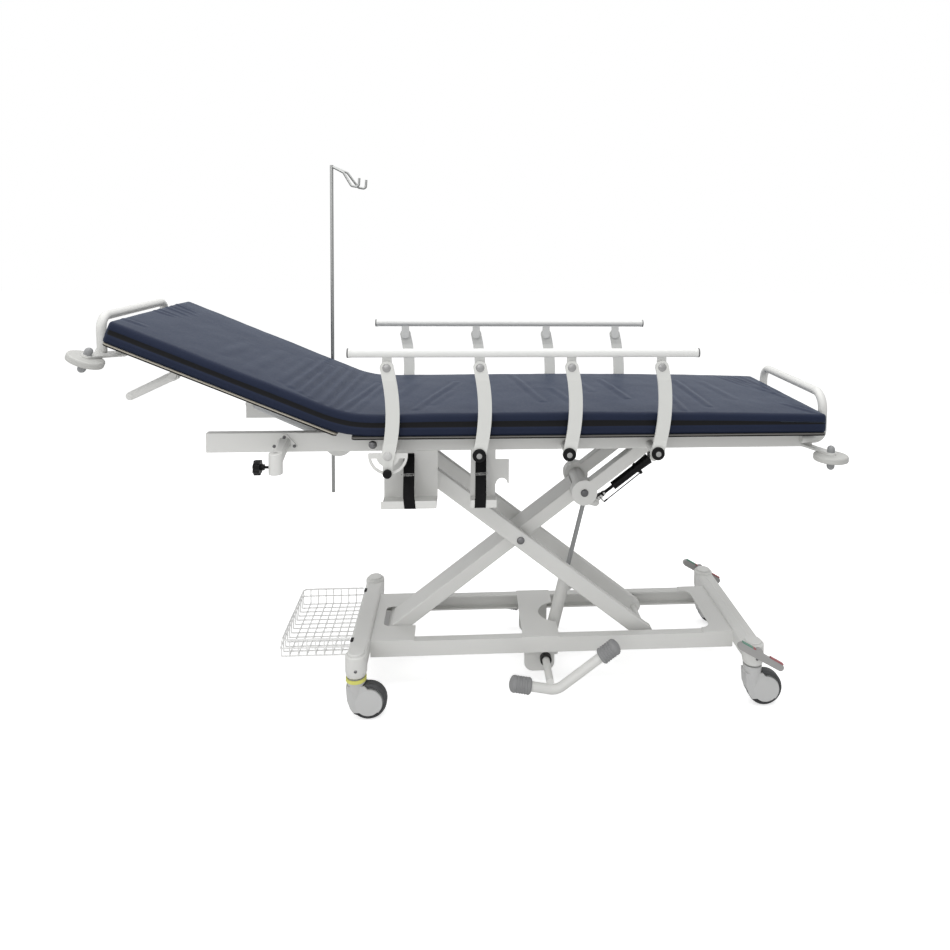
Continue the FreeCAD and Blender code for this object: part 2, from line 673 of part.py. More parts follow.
def pump_pedal():
    """Shaft through the base with a V-shaped foot bar at each end."""
    shaft = rod_y((PEDAL_SHAFT_X, PEDAL_SHAFT_Z), -PEDAL_BAR_Y, PEDAL_BAR_Y, PEDAL_SHAFT_R)
    pieces = [shaft]
    for side in (-1, 1):
        points = [vec(p[0], side * PEDAL_BAR_Y, p[1]) for p in (PEDAL_SHORT_END, PEDAL_ELBOW,
            PEDAL_LONG_END)]
        pieces.append(bent_bar(points, PEDAL_BAR_R, PEDAL_BEND_R))
    return [fuse(pieces)]


def pedal_pad(end, inward, side):
    """Ribbed rubber sleeve, closed at the tip, on one end of a foot bar."""
    direction = math.atan2(end[1] - inward[1], end[0] - inward[0])
    tip = PEDAL_PAD_LENGTH / 2
    steps = 6
    profile = [(PEDAL_BAR_R + GAP, -tip), (PEDAL_PAD_R - 4, -tip), (PEDAL_PAD_R, -tip + 5)]
    for rib in range(PEDAL_PAD_RIBS):
        start = -tip + 8 + rib * (PEDAL_PAD_LENGTH - 24) / PEDAL_PAD_RIBS
        pitch = (PEDAL_PAD_LENGTH - 24) / PEDAL_PAD_RIBS
        profile += [(PEDAL_PAD_R, start), (PEDAL_PAD_R - 1.5, start + 1.5),
            (PEDAL_PAD_R - 1.5, start + pitch - 3),
                    (PEDAL_PAD_R, start + pitch - 1.5)]
    for step in range(1, steps):
        angle = math.pi / 2 * step / steps
        profile.append((PEDAL_PAD_R * math.cos(angle), tip - 14 + 14 * math.sin(angle)))
    profile += [(0, tip), (0, GAP), (PEDAL_BAR_R + GAP, GAP)]
    corners = [vec(r, 0, a) for r, a in profile]
    face = Part.Face(Part.makePolygon(corners + [corners[0]]))
    pad = face.revolve(vec(0, 0, 0), vec(0, 0, 1), 360)
    pad.rotate(vec(0, 0, 0), vec(0, 1, 0), 90 - math.degrees(direction))
    pad.translate(vec(end[0], side * PEDAL_BAR_Y, end[1]))
    return pad


def pump_pedal_pads():
    pads = []
    for side in (-1, 1):
        pads.append(pedal_pad(PEDAL_SHORT_END, PEDAL_ELBOW, side))
        pads.append(pedal_pad(PEDAL_LONG_END, PEDAL_ELBOW, side))
    return pads


def ram_cylinder():
    """Hydraulic cylinder with its bottom eye on the pump's pin."""
    length = RAM_CYLINDER_LENGTH
    barrel = Part.makeCylinder(RAM_CYLINDER_R, length - 16, vec(16, 0, 0), vec(1, 0, 0))
    bore = Part.makeCylinder(RAM_CYLINDER_BORE_R, length, vec(24, 0, 0), vec(1, 0, 0))
    barrel = barrel.cut(bore)
    gland = Part.makeCylinder(RAM_CYLINDER_R + 1.5, RAM_GLAND_HEIGHT,
        vec(length - RAM_GLAND_HEIGHT, 0, 0), vec(1, 0, 0))
    gland = gland.cut(Part.makeCylinder(RAM_GLAND_R, length, vec(length / 2, 0, 0), vec(1, 0, 0)))
    eye = ring_y((0, 0), -RAM_EYE_HALF_WIDTH, RAM_EYE_HALF_WIDTH, RAM_EYE_R, RAM_PIN_R + FIT)
    neck = box(RAM_PIN_R + 4, 20, -RAM_EYE_HALF_WIDTH, RAM_EYE_HALF_WIDTH, -9, 9)
    return [along_arm(fuse([barrel, gland, eye, neck]), RAM_BASE, heading(RAM_BASE, RAM_TOP))]


def ram_rod():
    """Chromed rod with its top eye between the inner arm's lugs."""
    bar = Part.makeCylinder(RAM_ROD_R, RAM_ROD_LENGTH - RAM_PIN_R - 3, vec(RAM_PIN_R + 3, 0, 0),
        vec(1, 0, 0))
    eye = ring_y((0, 0), -RAM_EYE_HALF_WIDTH, RAM_EYE_HALF_WIDTH, RAM_EYE_R, RAM_PIN_R + FIT)
    return [along_arm(fuse([bar, eye]), RAM_TOP, heading(RAM_TOP, RAM_BASE))]


def basket():
    """Wire basket: welded grid floor and walls with a heavier rim."""
    x0, x1 = BASKET_HEAD_X, BASKET_FOOT_X
    half, wire = BASKET_HALF_WIDTH, BASKET_WIRE
    low, rim = BASKET_BOTTOM_Z, BASKET_RIM_Z
    pieces = []
    across = int(round(2 * half / BASKET_PITCH))
    for i in range(across + 1):
        y = -half + i * 2 * half / across
        pieces.append(box(x0, x1, y - wire / 2, y + wire / 2, low, low + wire))
        pieces.append(box(x0, x0 + wire, y - wire / 2, y + wire / 2, low + wire, rim - BASKET_RIM_WIRE / 2))
    along = int(round((x1 - x0) / BASKET_PITCH))
    for i in range(1, along):
        x = x0 + i * (x1 - x0) / along
        pieces.append(box(x - wire / 2, x + wire / 2, -half, half, low + wire, low + 2 * wire))
        for side in (-1, 1):
            edge = side * half
            pieces.append(box(x - wire / 2, x + wire / 2, edge, edge + side * wire, low + wire,
                rim - BASKET_RIM_WIRE / 2))
    level = (low + rim) / 2
    for side in (-1, 1):
        outer = side * (half + wire)
        pieces.append(box(x0, x1, outer, outer + side * wire, level, level + wire))
    pieces.append(box(x0 - wire, x0, -half - wire, half + wire, level, level + wire))
    r = BASKET_RIM_WIRE / 2
    points = [
        vec(x1, -half - r, rim), vec(x0 + r, -half - r, rim), vec(x0 + r, half + r, rim),
        vec(x1, half + r, rim),
    ]
    pieces.append(bent_bar(points, r, 14))
    return pieces


def caster_points():
    """Name, x and y of each caster column."""
    places = []
    for end, x in (("head", COLUMN_HEAD_X), ("foot", COLUMN_FOOT_X)):
        for side_name, side in SIDES:
            places.append((end + "_" + side_name, x, side * COLUMN_Y))
    return places


def caster_fork(x, y, ring):
    """Swivel housing: stem, tapered hood over the leading half of the wheel and two thread guards."""
    axle = (x + CASTER_TRAIL, WHEEL_R)
    cheek = WHEEL_WIDTH / 2 + CASTER_WHEEL_CLEARANCE
    outer = cheek + CASTER_CHEEK_THICKNESS
    hood = revolve_z(x, y, [
        (0, 62), (CASTER_HOUSING_R - 5, 62), (CASTER_HOUSING_R - 2, 92),
        (CASTER_HOUSING_R, CASTER_HOUSING_TOP_Z),
        (0, CASTER_HOUSING_TOP_Z),
    ])
    side_outline = [
        (x - CASTER_HOUSING_R + 1, 100), (x - CASTER_HOUSING_R + 4, 60), (x - 14, 36), (x - 4, 22),
        (x + 12, 16),
        (axle[0], 14), (axle[0] + 2, 84), (x + CASTER_HOUSING_R - 2, 98),
    ]
    sides = plate_xz(side_outline, y - outer, y + outer)
    guards = rod_y(axle, y - outer, y + outer, CASTER_GUARD_R)
    whole = fuse([hood, sides, guards])
    well = rod_y(axle, y - cheek, y + cheek, WHEEL_R + 3)
    whole = whole.cut(well)
    pin = rod_y(axle, y - cheek - 1, y + cheek + 1, CASTER_AXLE_R)
    stem = rod_z(x, y, CASTER_HOUSING_TOP_Z - 6, CASTER_STEM_TOP_Z, CASTER_STEM_R)
    flange = rod_z(x, y, CASTER_HOUSING_TOP_Z - 1, COLUMN_BOTTOM_Z - GAP, CASTER_STEM_R + 6)
    pieces = [fuse([whole, pin, stem, flange])]
    if ring:
        z1 = CASTER_HOUSING_TOP_Z
        band = rod_z(x, y, z1 - CASTER_RING_HEIGHT, z1, CASTER_RING_OUTER_R)
        pieces[0] = pieces[0].cut(band.cut(rod_z(x, y, z1 - CASTER_RING_HEIGHT - 1, z1 + 1,
            CASTER_HOUSING_R - 2)))
        pieces.append(band.cut(rod_z(x, y, z1 - CASTER_RING_HEIGHT - 1, z1 + 1, CASTER_HOUSING_R - 2)))
    return pieces


def caster_wheel(x, y):
    """Hard core with a rounded rubber tyre."""
    axle = (x + CASTER_TRAIL, WHEEL_R)
    half = WHEEL_WIDTH / 2
    core = revolve_y(axle, [
        (CASTER_AXLE_R + FIT, y - half + 1), (14, y - half + 1), (16, y - half + 5),
        (WHEEL_CORE_R - 4, y - half + 5),
        (WHEEL_CORE_R, y - half + 2), (WHEEL_CORE_R, y + half - 2), (WHEEL_CORE_R - 4, y + half - 5),
        (16, y + half - 5), (14, y + half - 1), (CASTER_AXLE_R + FIT, y + half - 1),
    ])
    tread = [(WHEEL_CORE_R, y - half + 2), (WHEEL_CORE_R + 2, y - half),
        (WHEEL_R - WHEEL_TREAD_R, y - half)]
    steps = 3
    for step in range(1, steps + 1):
        angle = math.pi / 2 * step / steps
        tread.append((WHEEL_R - WHEEL_TREAD_R * (1 - math.sin(angle)),
            y - half + WHEEL_TREAD_R * (1 - math.cos(angle))))
    tread += [(r, 2 * y - v) for r, v in reversed(tread)]
    return [core, revolve_y(axle, tread)]


def brake_levers():
    """Shaft across the foot columns with a double-ended foot lever at each end."""
    pivot = (COLUMN_FOOT_X, BRAKE_SHAFT_Z)
    y1 = BRAKE_LEVER_Y + BRAKE_LEVER_THICKNESS
    pieces = [rod_y(pivot, -y1, y1, BRAKE_SHAFT_R)]
    reach = BRAKE_LEVER_HALF_LENGTH - BRAKE_LEVER_HALF_DEPTH
    for side in (-1, 1):
        a = lever_point(-reach)
        b = lever_point(reach)
        pieces.append(link_xz(a, b, BRAKE_LEVER_HALF_DEPTH, BRAKE_LEVER_HALF_DEPTH - 0.5,
            side * BRAKE_LEVER_Y, side * y1))
        pieces.append(rod_y(pivot, side * BRAKE_LEVER_Y, side * y1, BRAKE_HUB_R))
    return [fuse(pieces)]


def lever_point(along):
    """(x, z) of a point on the brake lever's centre line, from the middle of the lever."""
    slope = math.radians(BRAKE_LEVER_ANGLE)
    return (
        COLUMN_FOOT_X + BRAKE_LEVER_OFFSET * math.cos(slope) + along * math.cos(slope),
        BRAKE_SHAFT_Z - 6 - BRAKE_LEVER_OFFSET * math.sin(slope) - along * math.sin(slope),
    )


def brake_pads():
    """Raised foot pads on top of both ends of each lever."""
    pads = []
    slope = BRAKE_LEVER_ANGLE
    for side in (-1, 1):
        for end in (-1, 1):
            centre = lever_point(end * (BRAKE_LEVER_HALF_LENGTH - 8 - BRAKE_PAD_LENGTH / 2))
            lift = BRAKE_LEVER_HALF_DEPTH
            pad = box(-BRAKE_PAD_LENGTH / 2, BRAKE_PAD_LENGTH / 2, -BRAKE_LEVER_THICKNESS / 2,
                BRAKE_LEVER_THICKNESS / 2,
                      lift, lift + BRAKE_PAD_THICKNESS)
            pad.rotate(vec(0, 0, 0), vec(0, 1, 0), slope)
            pad.translate(vec(centre[0], side * (BRAKE_LEVER_Y + BRAKE_LEVER_THICKNESS / 2), centre[1]))
            pads.append(pad)
    return pads


def inner_arm():
    """Single box beam up to the cross tube, which carries lugs for the ram and the tilt spring."""
    half_width = INNER_ARM_WIDTH / 2
    start = INNER_ARM_HUB_R - 4
    beam = box_beam(CROSS_TUBE_DISTANCE - CROSS_TUBE_R - start + 6, INNER_ARM_DEPTH, INNER_ARM_WIDTH,
        INNER_ARM_WALL, 5)
    beam.translate(vec(start, 0, 0))
    beam = along_arm(beam, SCISSOR_BASE, LIFT_ANGLE)
    hub = rod_y(SCISSOR_BASE, -half_width, half_width, INNER_ARM_HUB_R)
    tube = rod_y(CROSS_TUBE, -CROSS_TUBE_HALF_LENGTH, CROSS_TUBE_HALF_LENGTH, CROSS_TUBE_R)
    crossing_tube = rod_y(CROSSING, -half_width, half_width, SCISSOR_PIN_R + 5)
    lugs = []
    for side in (-1, 1):
        y0 = side * (LUG_Y + LUG_THICKNESS)
        y1 = side * LUG_Y
        lugs.append(link_xz(CROSS_TUBE, RAM_TOP, CROSS_TUBE_R, RAM_EYE_R + 2, y0, y1))
        lugs.append(link_xz(RAM_TOP, TILT_SPRING_LOW, RAM_EYE_R + 2, TILT_SPRING_EYE_R + 2, y0, y1))
    ram_pin = rod_y(RAM_TOP, -LUG_Y - LUG_THICKNESS - 3, LUG_Y + LUG_THICKNESS + 3, RAM_PIN_R)
    spring_pin = rod_y(TILT_SPRING_LOW, -LUG_Y - LUG_THICKNESS - 3, LUG_Y + LUG_THICKNESS + 3,
        TILT_SPRING_PIN_R)
    tip_axle_end = UPPER_ARM_Y + UPPER_ARM_WIDTH / 2 + 2
    axle = rod_y(CROSS_TUBE, -tip_axle_end, tip_axle_end, SCISSOR_PIN_R)
    heads = [
        dome_y(CROSS_TUBE, side * (tip_axle_end - 1), side, BOLT_HEAD_R,
        BOLT_HEAD_HEIGHT) for side in (-1, 1)
    ]
    arm = fuse([beam, hub, crossing_tube])
    arm = arm.cut(rod_y(SCISSOR_BASE, -half_width - 1, half_width + 1, SCISSOR_PIN_R + FIT))
    arm = arm.cut(rod_y(CROSSING, -half_width - 1, half_width + 1, SCISSOR_PIN_R))
    head = fuse([tube, ram_pin, spring_pin, axle] + lugs + heads)
    return [arm.cut(head), head]


def crossing_shaft():
    """Shaft where the arms cross, with a domed head at each end."""
    face = OUTER_ARM_Y + OUTER_ARM_THICKNESS / 2
    shaft = rod_y(CROSSING, -face - 1, face + 1, SCISSOR_PIN_R)
    heads = [dome_y(CROSSING, side * (face + GAP), side, BOLT_HEAD_R, BOLT_HEAD_HEIGHT) for side in (-1, 1)]
    return [fuse([shaft] + heads)]


def outer_arms():
    """Two box arms outside the inner one, joined at the base end by the axle of the base rollers."""
    angle = 180 - LIFT_ANGLE
    length = SCISSOR_LOWER_HALF + SCISSOR_UPPER_HALF
    radius = OUTER_ARM_DEPTH / 2
    pieces = []
    for side in (-1, 1):
        beam = box_beam(length, OUTER_ARM_DEPTH, OUTER_ARM_THICKNESS, OUTER_ARM_WALL, 4)
        beam.translate(vec(0, side * OUTER_ARM_Y, 0))
        y0 = side * (OUTER_ARM_Y - OUTER_ARM_THICKNESS / 2)
        y1 = side * (OUTER_ARM_Y + OUTER_ARM_THICKNESS / 2)
        ends = [rod_y((0, 0), y0, y1, radius), rod_y((length, 0), y0, y1, radius)]
        middle = rod_y((SCISSOR_LOWER_HALF, 0), y0, y1, SCISSOR_PIN_R + 5)
        arm = fuse([beam, middle] + ends)
        arm = arm.cut(rod_y((SCISSOR_LOWER_HALF, 0), y0 - side, y1 + side, SCISSOR_PIN_R + FIT))
        arm = arm.cut(rod_y((length, 0), y0 - side, y1 + side, SCISSOR_PIN_R + FIT))
        pieces.append(along_arm(arm, BASE_ROLLER, angle))
    roller_face = RAIL_INNER_Y + 2
    axle = rod_y(BASE_ROLLER, -roller_face - ROLLER_WIDTH, roller_face + ROLLER_WIDTH, ROLLER_AXLE_R)
    rollers = []
    for side in (-1, 1):
        y0 = side * (roller_face + GAP)
        rollers.append(rod_y(BASE_ROLLER, y0, y0 + side * ROLLER_WIDTH, BASE_ROLLER_R))
    return [fuse(pieces + [axle] + rollers)]


def upper_arms():
    """Two arms from the cross tube to the deck's channels, with the rollers and the tilt spring's lug."""
    length = distance(CROSS_TUBE, DECK_ROLLER)
    pieces = []
    for side in (-1, 1):
        y0 = side * (UPPER_ARM_Y - UPPER_ARM_WIDTH / 2)
        y1 = side * (UPPER_ARM_Y + UPPER_ARM_WIDTH / 2)
        beam = box_beam(length, UPPER_ARM_DEPTH - 2, UPPER_ARM_WIDTH, INNER_ARM_WALL, 4)
        beam.translate(vec(0, side * UPPER_ARM_Y, 0))
        arm = fuse([beam, rod_y((0, 0), y0, y1, UPPER_HUB_R), rod_y((length, 0), y0, y1, UPPER_TIP_R)])
        arm = arm.cut(rod_y((0, 0), y0 - side, y1 + side, SCISSOR_PIN_R + FIT))
        pieces.append(along_arm(arm, CROSS_TUBE, heading(CROSS_TUBE, DECK_ROLLER)))
        roller_start = side * (CHANNEL_WEB_Y - CHANNEL_FLANGE + 1)
        pieces.append(rod_y(DECK_ROLLER, roller_start, roller_start + side * ROLLER_WIDTH, DECK_ROLLER_R))
    reach = CHANNEL_WEB_Y - CHANNEL_FLANGE + 1 + ROLLER_WIDTH / 2
    pieces.append(rod_y(DECK_ROLLER, -reach, reach, ROLLER_AXLE_R))
    pin_reach = LUG_Y + LUG_THICKNESS + 3
    pieces.append(rod_y(TILT_SPRING_HIGH, -pin_reach, pin_reach, TILT_SPRING_PIN_R))
    for side in (-1, 1):
        pieces.append(link_xz(
            DECK_ROLLER, TILT_SPRING_HIGH, TILT_SPRING_EYE_R + 4, TILT_SPRING_EYE_R + 2,
            side * LUG_Y, side * (LUG_Y + LUG_THICKNESS),
        ))
    return [fuse(pieces)]


def spring_body(length, radius, bore, eye_r, pin_r, half_width, low_end, neck):
    """Closed barrel with an eye at its origin and an open far end, along +X."""
    barrel = Part.makeCylinder(radius, length - eye_r - 3, vec(eye_r + 3, 0, 0), vec(1, 0, 0))
    barrel = barrel.cut(Part.makeCylinder(bore, length, vec(low_end, 0, 0), vec(1, 0, 0)))
    eye = ring_y((0, 0), -half_width, half_width, eye_r, pin_r + FIT)
    shank = box(pin_r + 2, eye_r + 6, -half_width, half_width, -neck, neck)
    return fuse([barrel, eye, shank])


def tilt_spring_body():
    body = spring_body(
        TILT_SPRING_BODY_LENGTH, TILT_SPRING_R, TILT_SPRING_BORE_R, TILT_SPRING_EYE_R, TILT_SPRING_PIN_R,
        LUG_Y - 4, 24, 6,
    )
    return [along_arm(body, TILT_SPRING_HIGH, heading(TILT_SPRING_HIGH, TILT_SPRING_LOW))]


def tilt_spring_rod():
    """Rod with the release head on the inner arm's lug."""
    bar = Part.makeCylinder(TILT_SPRING_ROD_R, TILT_SPRING_ROD_LENGTH - 8, vec(8, 0, 0), vec(1, 0, 0))
    eye = ring_y((0, 0), LUG_Y - 4, 4 - LUG_Y, TILT_SPRING_EYE_R, TILT_SPRING_PIN_R + FIT)
    head = box(6, 26, -9, 9, -7, 7)
    nut = Part.makeCylinder(8, 6, vec(28, 0, 0), vec(1, 0, 0))
    collar = Part.makeCylinder(6.5, 5, vec(25, 0, 0), vec(1, 0, 0))
    return [along_arm(fuse([bar, eye, head, nut, collar]), TILT_SPRING_LOW,
        heading(TILT_SPRING_LOW, TILT_SPRING_HIGH))]


def deck_pivot_shaft():
    """Shaft through the outer arms and both side rails of the deck."""
    face = DECK_RAIL_OUTER_Y
    shaft = rod_y(DECK_PIVOT, -face - 1, face + 1, SCISSOR_PIN_R)
    heads = [dome_y(DECK_PIVOT, side * (face + GAP), side, BOLT_HEAD_R,
        BOLT_HEAD_HEIGHT) for side in (-1, 1)]
    inner = OUTER_ARM_Y + OUTER_ARM_THICKNESS / 2 + GAP
    collars = [
        rod_y(DECK_PIVOT, side * inner, side * (face - DECK_RAIL_WIDTH - GAP),
        SCISSOR_PIN_R + 4) for side in (-1, 1)
    ]
    return [fuse([shaft] + heads + collars)]


def deck_side_rail():
    """Hollow side rail of the deck, open at the head end."""
    y1 = -DECK_RAIL_OUTER_Y
    y0 = y1 + DECK_RAIL_WIDTH
    rail = box(DECK_RAIL_HEAD_X, DECK_RAIL_FOOT_X, y1, y0, DECK_RAIL_BOTTOM_Z, DECK_RAIL_TOP_Z)
    edges = [e for e in rail.Edges if abs(e.tangentAt(e.FirstParameter).x) > 0.9]
    rail = rail.makeFillet(3, edges)
    wall = DECK_RAIL_WALL
    inside = box(DECK_RAIL_HEAD_X - 1, DECK_RAIL_FOOT_X - wall, y1 + wall, y0 - wall,
                 DECK_RAIL_BOTTOM_Z + wall, DECK_RAIL_TOP_Z - wall)
    rail = rail.cut(inside)
    bush = rod_y(DECK_PIVOT, y0 - wall / 2, y1 + wall / 2, SCISSOR_PIN_R + 4)
    rail = rail.fuse(bush)
    rail = rail.cut(rod_y(DECK_PIVOT, y0 + 1, y1 - 1, SCISSOR_PIN_R + FIT))
    return rail.removeSplitter()


def post_stud(index):
    """Near stud that carries a side post, with its collar against the rail."""
    spot = (POST_FIRST_X + index * POST_SPACING, POST_LOW_Z)
    post_inner = POST_LOW_Y - POST_THICKNESS / 2
    collar = rod_y(spot, -DECK_RAIL_OUTER_Y, GAP - post_inner, POST_PIN_R + 6)
    pin = rod_y(spot, -DECK_RAIL_OUTER_Y, -(POST_LOW_Y + POST_THICKNESS / 2), POST_PIN_R)
    return collar.fuse(pin)


def quadrant():
    """Slotted half-ring plate below the first post, on the near rail."""
    spot = (POST_FIRST_X, POST_LOW_Z)
    y0 = -(POST_LOW_Y - POST_THICKNESS / 2 - GAP)
    y1 = y0 + QUADRANT_THICKNESS
    disc = rod_y(spot, y0, y1, QUADRANT_R)
    outer = QUADRANT_R - QUADRANT_BAND / 2
    slot = rod_y(spot, y0 - 1, y1 + 1, outer).cut(rod_y(spot, y0 - 2, y1 + 2, outer - QUADRANT_BAND))
    keep = box(spot[0] - QUADRANT_R - 1, spot[0] + QUADRANT_R + 1, y0 - 1, y1 + 1,
        spot[1] - QUADRANT_R - 1, spot[1] + 6)
    webs = [
        box(spot[0] - QUADRANT_R, spot[0] + QUADRANT_R, y0, y1, spot[1] - 8, spot[1] + 6),
        box(spot[0] - 5, spot[0] + 5, y0, y1, spot[1] - QUADRANT_R, spot[1]),
    ]
    plate = disc.cut(slot).fuse(disc.common(fuse(webs))).common(keep)
    hole = rod_y((spot[0], spot[1] - POST_TAIL), y0 - 1, y1 + 1, PLUNGER_PIN_R + GAP)
    plate = plate.cut(hole)
    stay = box(spot[0] - 16, spot[0] + 16, y0 + 1, -DECK_RAIL_OUTER_Y, DECK_RAIL_BOTTOM_Z, spot[1] + 6)
    return fuse([plate, stay, post_stud(0)])


def deck_crossings(inner_y):
    """Flat cross bars under the board and the hollow bars at the hinge and the foot end."""
    solids = []
    half = CROSS_BAR_WIDTH / 2
    for x in CROSS_BAR_STATIONS:
        solids.append(box(x - half, x + half, -inner_y, inner_y, DECK_RAIL_TOP_Z - CROSS_BAR_HEIGHT,
            DECK_RAIL_TOP_Z))
    wall = DECK_RAIL_WALL
    low, high = DECK_RAIL_BOTTOM_Z, DECK_RAIL_BOTTOM_Z + END_BAR_HEIGHT
    tubes = []
    for x0 in (BACK_HINGE_X - 20, DECK_RAIL_FOOT_X - 32):
        x1 = x0 + END_BAR_WIDTH
        hollow = box(x0 + wall, x1 - wall, -inner_y, inner_y, low + wall, high - wall)
        tubes.append(box(x0, x1, -inner_y, inner_y, low, high).cut(hollow))
    lugs = []
    for side in (-1, 1):
        y0 = STRUT_Y + side * LUG_Y
        y1 = y0 + side * LUG_THICKNESS
        round_plate = rod_y((STRUT_LOW[0] + 2, STRUT_LOW[1] + 2), y0, y1, STRUT_LUG_R)
        keep = box(STRUT_LOW[0] - STRUT_LUG_R, BACK_HINGE_X, y0, y1, STRUT_LOW[1] - STRUT_LUG_R, high - 2)
        lugs.append(round_plate.common(keep))
    lugs.append(rod_y(STRUT_LOW, STRUT_Y - LUG_Y - 8, STRUT_Y + LUG_Y + 8, STRUT_PIN_R))
    tubes[0] = fuse([tubes[0]] + lugs)
    return solids + tubes


def roller_channel():
    """Near channel that the deck rollers run in, with its hangers under the cross bars."""
    low = DECK_PIVOT[1] - CHANNEL_BELOW_PIN
    high = DECK_PIVOT[1] + CHANNEL_ABOVE_PIN
    web, tip, wall = CHANNEL_WEB_Y, CHANNEL_WEB_Y - CHANNEL_FLANGE, CHANNEL_WALL
    section = [
        (-web, low - wall), (-tip, low - wall), (-tip, low), (wall - web, low), (wall - web, high),
        (-tip, high), (-tip, high + wall), (-web, high + wall),
    ]
    channel = plate_yz(section, CHANNEL_HEAD_X, CHANNEL_FOOT_X)
    top = DECK_RAIL_TOP_Z - CROSS_BAR_HEIGHT
    hangers = [
        box(x - 8, x + 8, -web, 12 - web, high + wall / 2, top)
        for x in CROSS_BAR_STATIONS if CHANNEL_HEAD_X < x - 8 and x + 8 < CHANNEL_FOOT_X
    ]
    return fuse([channel] + hangers)


def hinge_lug(inner_y):
    """Near lug of the backrest hinge with its pin."""
    outer = BACK_FRAME_OUTER_Y
    lug = link_xz(BACK_HINGE, (BACK_HINGE[0], DECK_RAIL_TOP_Z - 12), BACK_PIN_R + BACK_KNUCKLE_WALL,
        BACK_PIN_R + 4,
                  -inner_y, -outer - GAP)
    pin = rod_y(BACK_HINGE, -inner_y, BACK_FRAME_WIDTH - outer, BACK_PIN_R)
    foot = (BACK_HINGE[0], DECK_RAIL_TOP_Z)
    knob = link_xz(BACK_HINGE, foot, BACK_KNOB_R, BACK_KNOB_R, -DECK_RAIL_OUTER_Y, -inner_y)
    below = box(BACK_HINGE[0] - BACK_KNOB_R, BACK_HINGE[0] + BACK_KNOB_R, -DECK_RAIL_OUTER_Y, -inner_y,
                DECK_RAIL_TOP_Z - BACK_KNOB_R, DECK_RAIL_TOP_Z)
    return fuse([lug, pin, knob.cut(below)])


def deck_frame():
    """Side rails, cross bars, roller channels, foot handle and the bumper arms of the foot end."""
    inner_y = DECK_RAIL_OUTER_Y - DECK_RAIL_WIDTH
    near = [deck_side_rail(), quadrant(), roller_channel(), hinge_lug(inner_y)]
    near += [post_stud(i) for i in range(1, POST_COUNT)]
    solids = near + [mirrored(piece) for piece in near] + deck_crossings(inner_y)
    rails = both_sides(box(DECK_RAIL_HEAD_X, DECK_RAIL_FOOT_X, -DECK_RAIL_OUTER_Y, -inner_y,
                           DECK_RAIL_BOTTOM_Z, DECK_RAIL_TOP_Z))
    leg_z = (DECK_RAIL_BOTTOM_Z + DECK_RAIL_TOP_Z) / 2
    legs = [
        vec(DECK_RAIL_FOOT_X - HANDLE_LEG_LENGTH, -HANDLE_LEG_Y, leg_z),
        vec(HANDLE_FOOT_X, -HANDLE_LEG_Y, leg_z),
        vec(HANDLE_FOOT_X, -HANDLE_LEG_Y, HANDLE_FOOT_TOP_Z), vec(HANDLE_FOOT_X, 0, HANDLE_FOOT_TOP_Z),
    ]
    handle = push_handle(legs, [HANDLE_FOOT_BEND_R, HANDLE_BEND_R])
    for rail in rails:
        handle = handle.cut(rail)
    solids.append(handle)
    for side in (-1, 1):
        arm = bumper_arm_foot(side)
        for rail in rails:
            arm = arm.cut(rail)
        solids.append(arm)
    return solids


def push_handle(near_half, bends):
    """Round tube swept along the near half of a push handle and mirrored to the whole."""
    path = smooth_path(near_half, bends)
    section = Part.Wire(Part.makeCircle(HANDLE_R, near_half[0], near_half[1].sub(near_half[0])))
    half = path.makePipeShell([section], True, True)
    return half.fuse(mirrored(half)).removeSplitter()


def bumper_arm_foot(side):
    """Flat arm from the rail's foot end to a corner bumper, with the pin and both domed caps."""
    x, y = BUMPER_FOOT_X, side * BUMPER_Y
    z0 = BUMPER_MID_Z + BUMPER_THICKNESS / 2 + GAP
    root = vec(DECK_RAIL_FOOT_X - 22, side * (DECK_RAIL_OUTER_Y - 6), 0)
    return bumper_arm(root, vec(x, y, 0), z0)


def bumper_arm(root, tip, z0):
    """Arm plate from root to tip at height z0, the pin below it and the caps above and below."""
    z1 = z0 + BUMPER_ARM_THICKNESS
    along = tip.sub(root)
    across = FreeCAD.Vector(-along.y, along.x, 0).normalize().multiply(BUMPER_ARM_WIDTH / 2)
    corners = [root.add(across), tip.add(across), tip.sub(across), root.sub(across)]
    plate = plate_xy([(c.x, c.y) for c in corners], z0, z1)
    end = rod_z(tip.x, tip.y, z0, z1, BUMPER_ARM_WIDTH / 2)
    bottom = z0 - BUMPER_THICKNESS - 2 * GAP
    pin = rod_z(tip.x, tip.y, bottom - 1, z1, BUMPER_PIN_R)
    cap = dome_z(tip.x, tip.y, z1 - 1, 1, BUMPER_CAP_R, BUMPER_CAP_HEIGHT)
    foot_cap = dome_z(tip.x, tip.y, bottom, -1, BUMPER_CAP_R, BUMPER_LOW_CAP_HEIGHT)
    return fuse([plate, end, pin, cap, foot_cap])


def dome_z(x, y, z_base, direction, radius, height):
    """Domed cap standing on the plane z_base."""
    steps = 4
    straight = height - radius
    profile = [(0, z_base), (radius, z_base), (radius, z_base + direction * straight)]
    for step in range(1, steps):
        angle = math.pi / 2 * step / steps
        profile.append((radius * math.cos(angle),
            z_base + direction * (straight + radius * math.sin(angle))))
    profile.append((0, z_base + direction * height))
    return revolve_z(x, y, profile)


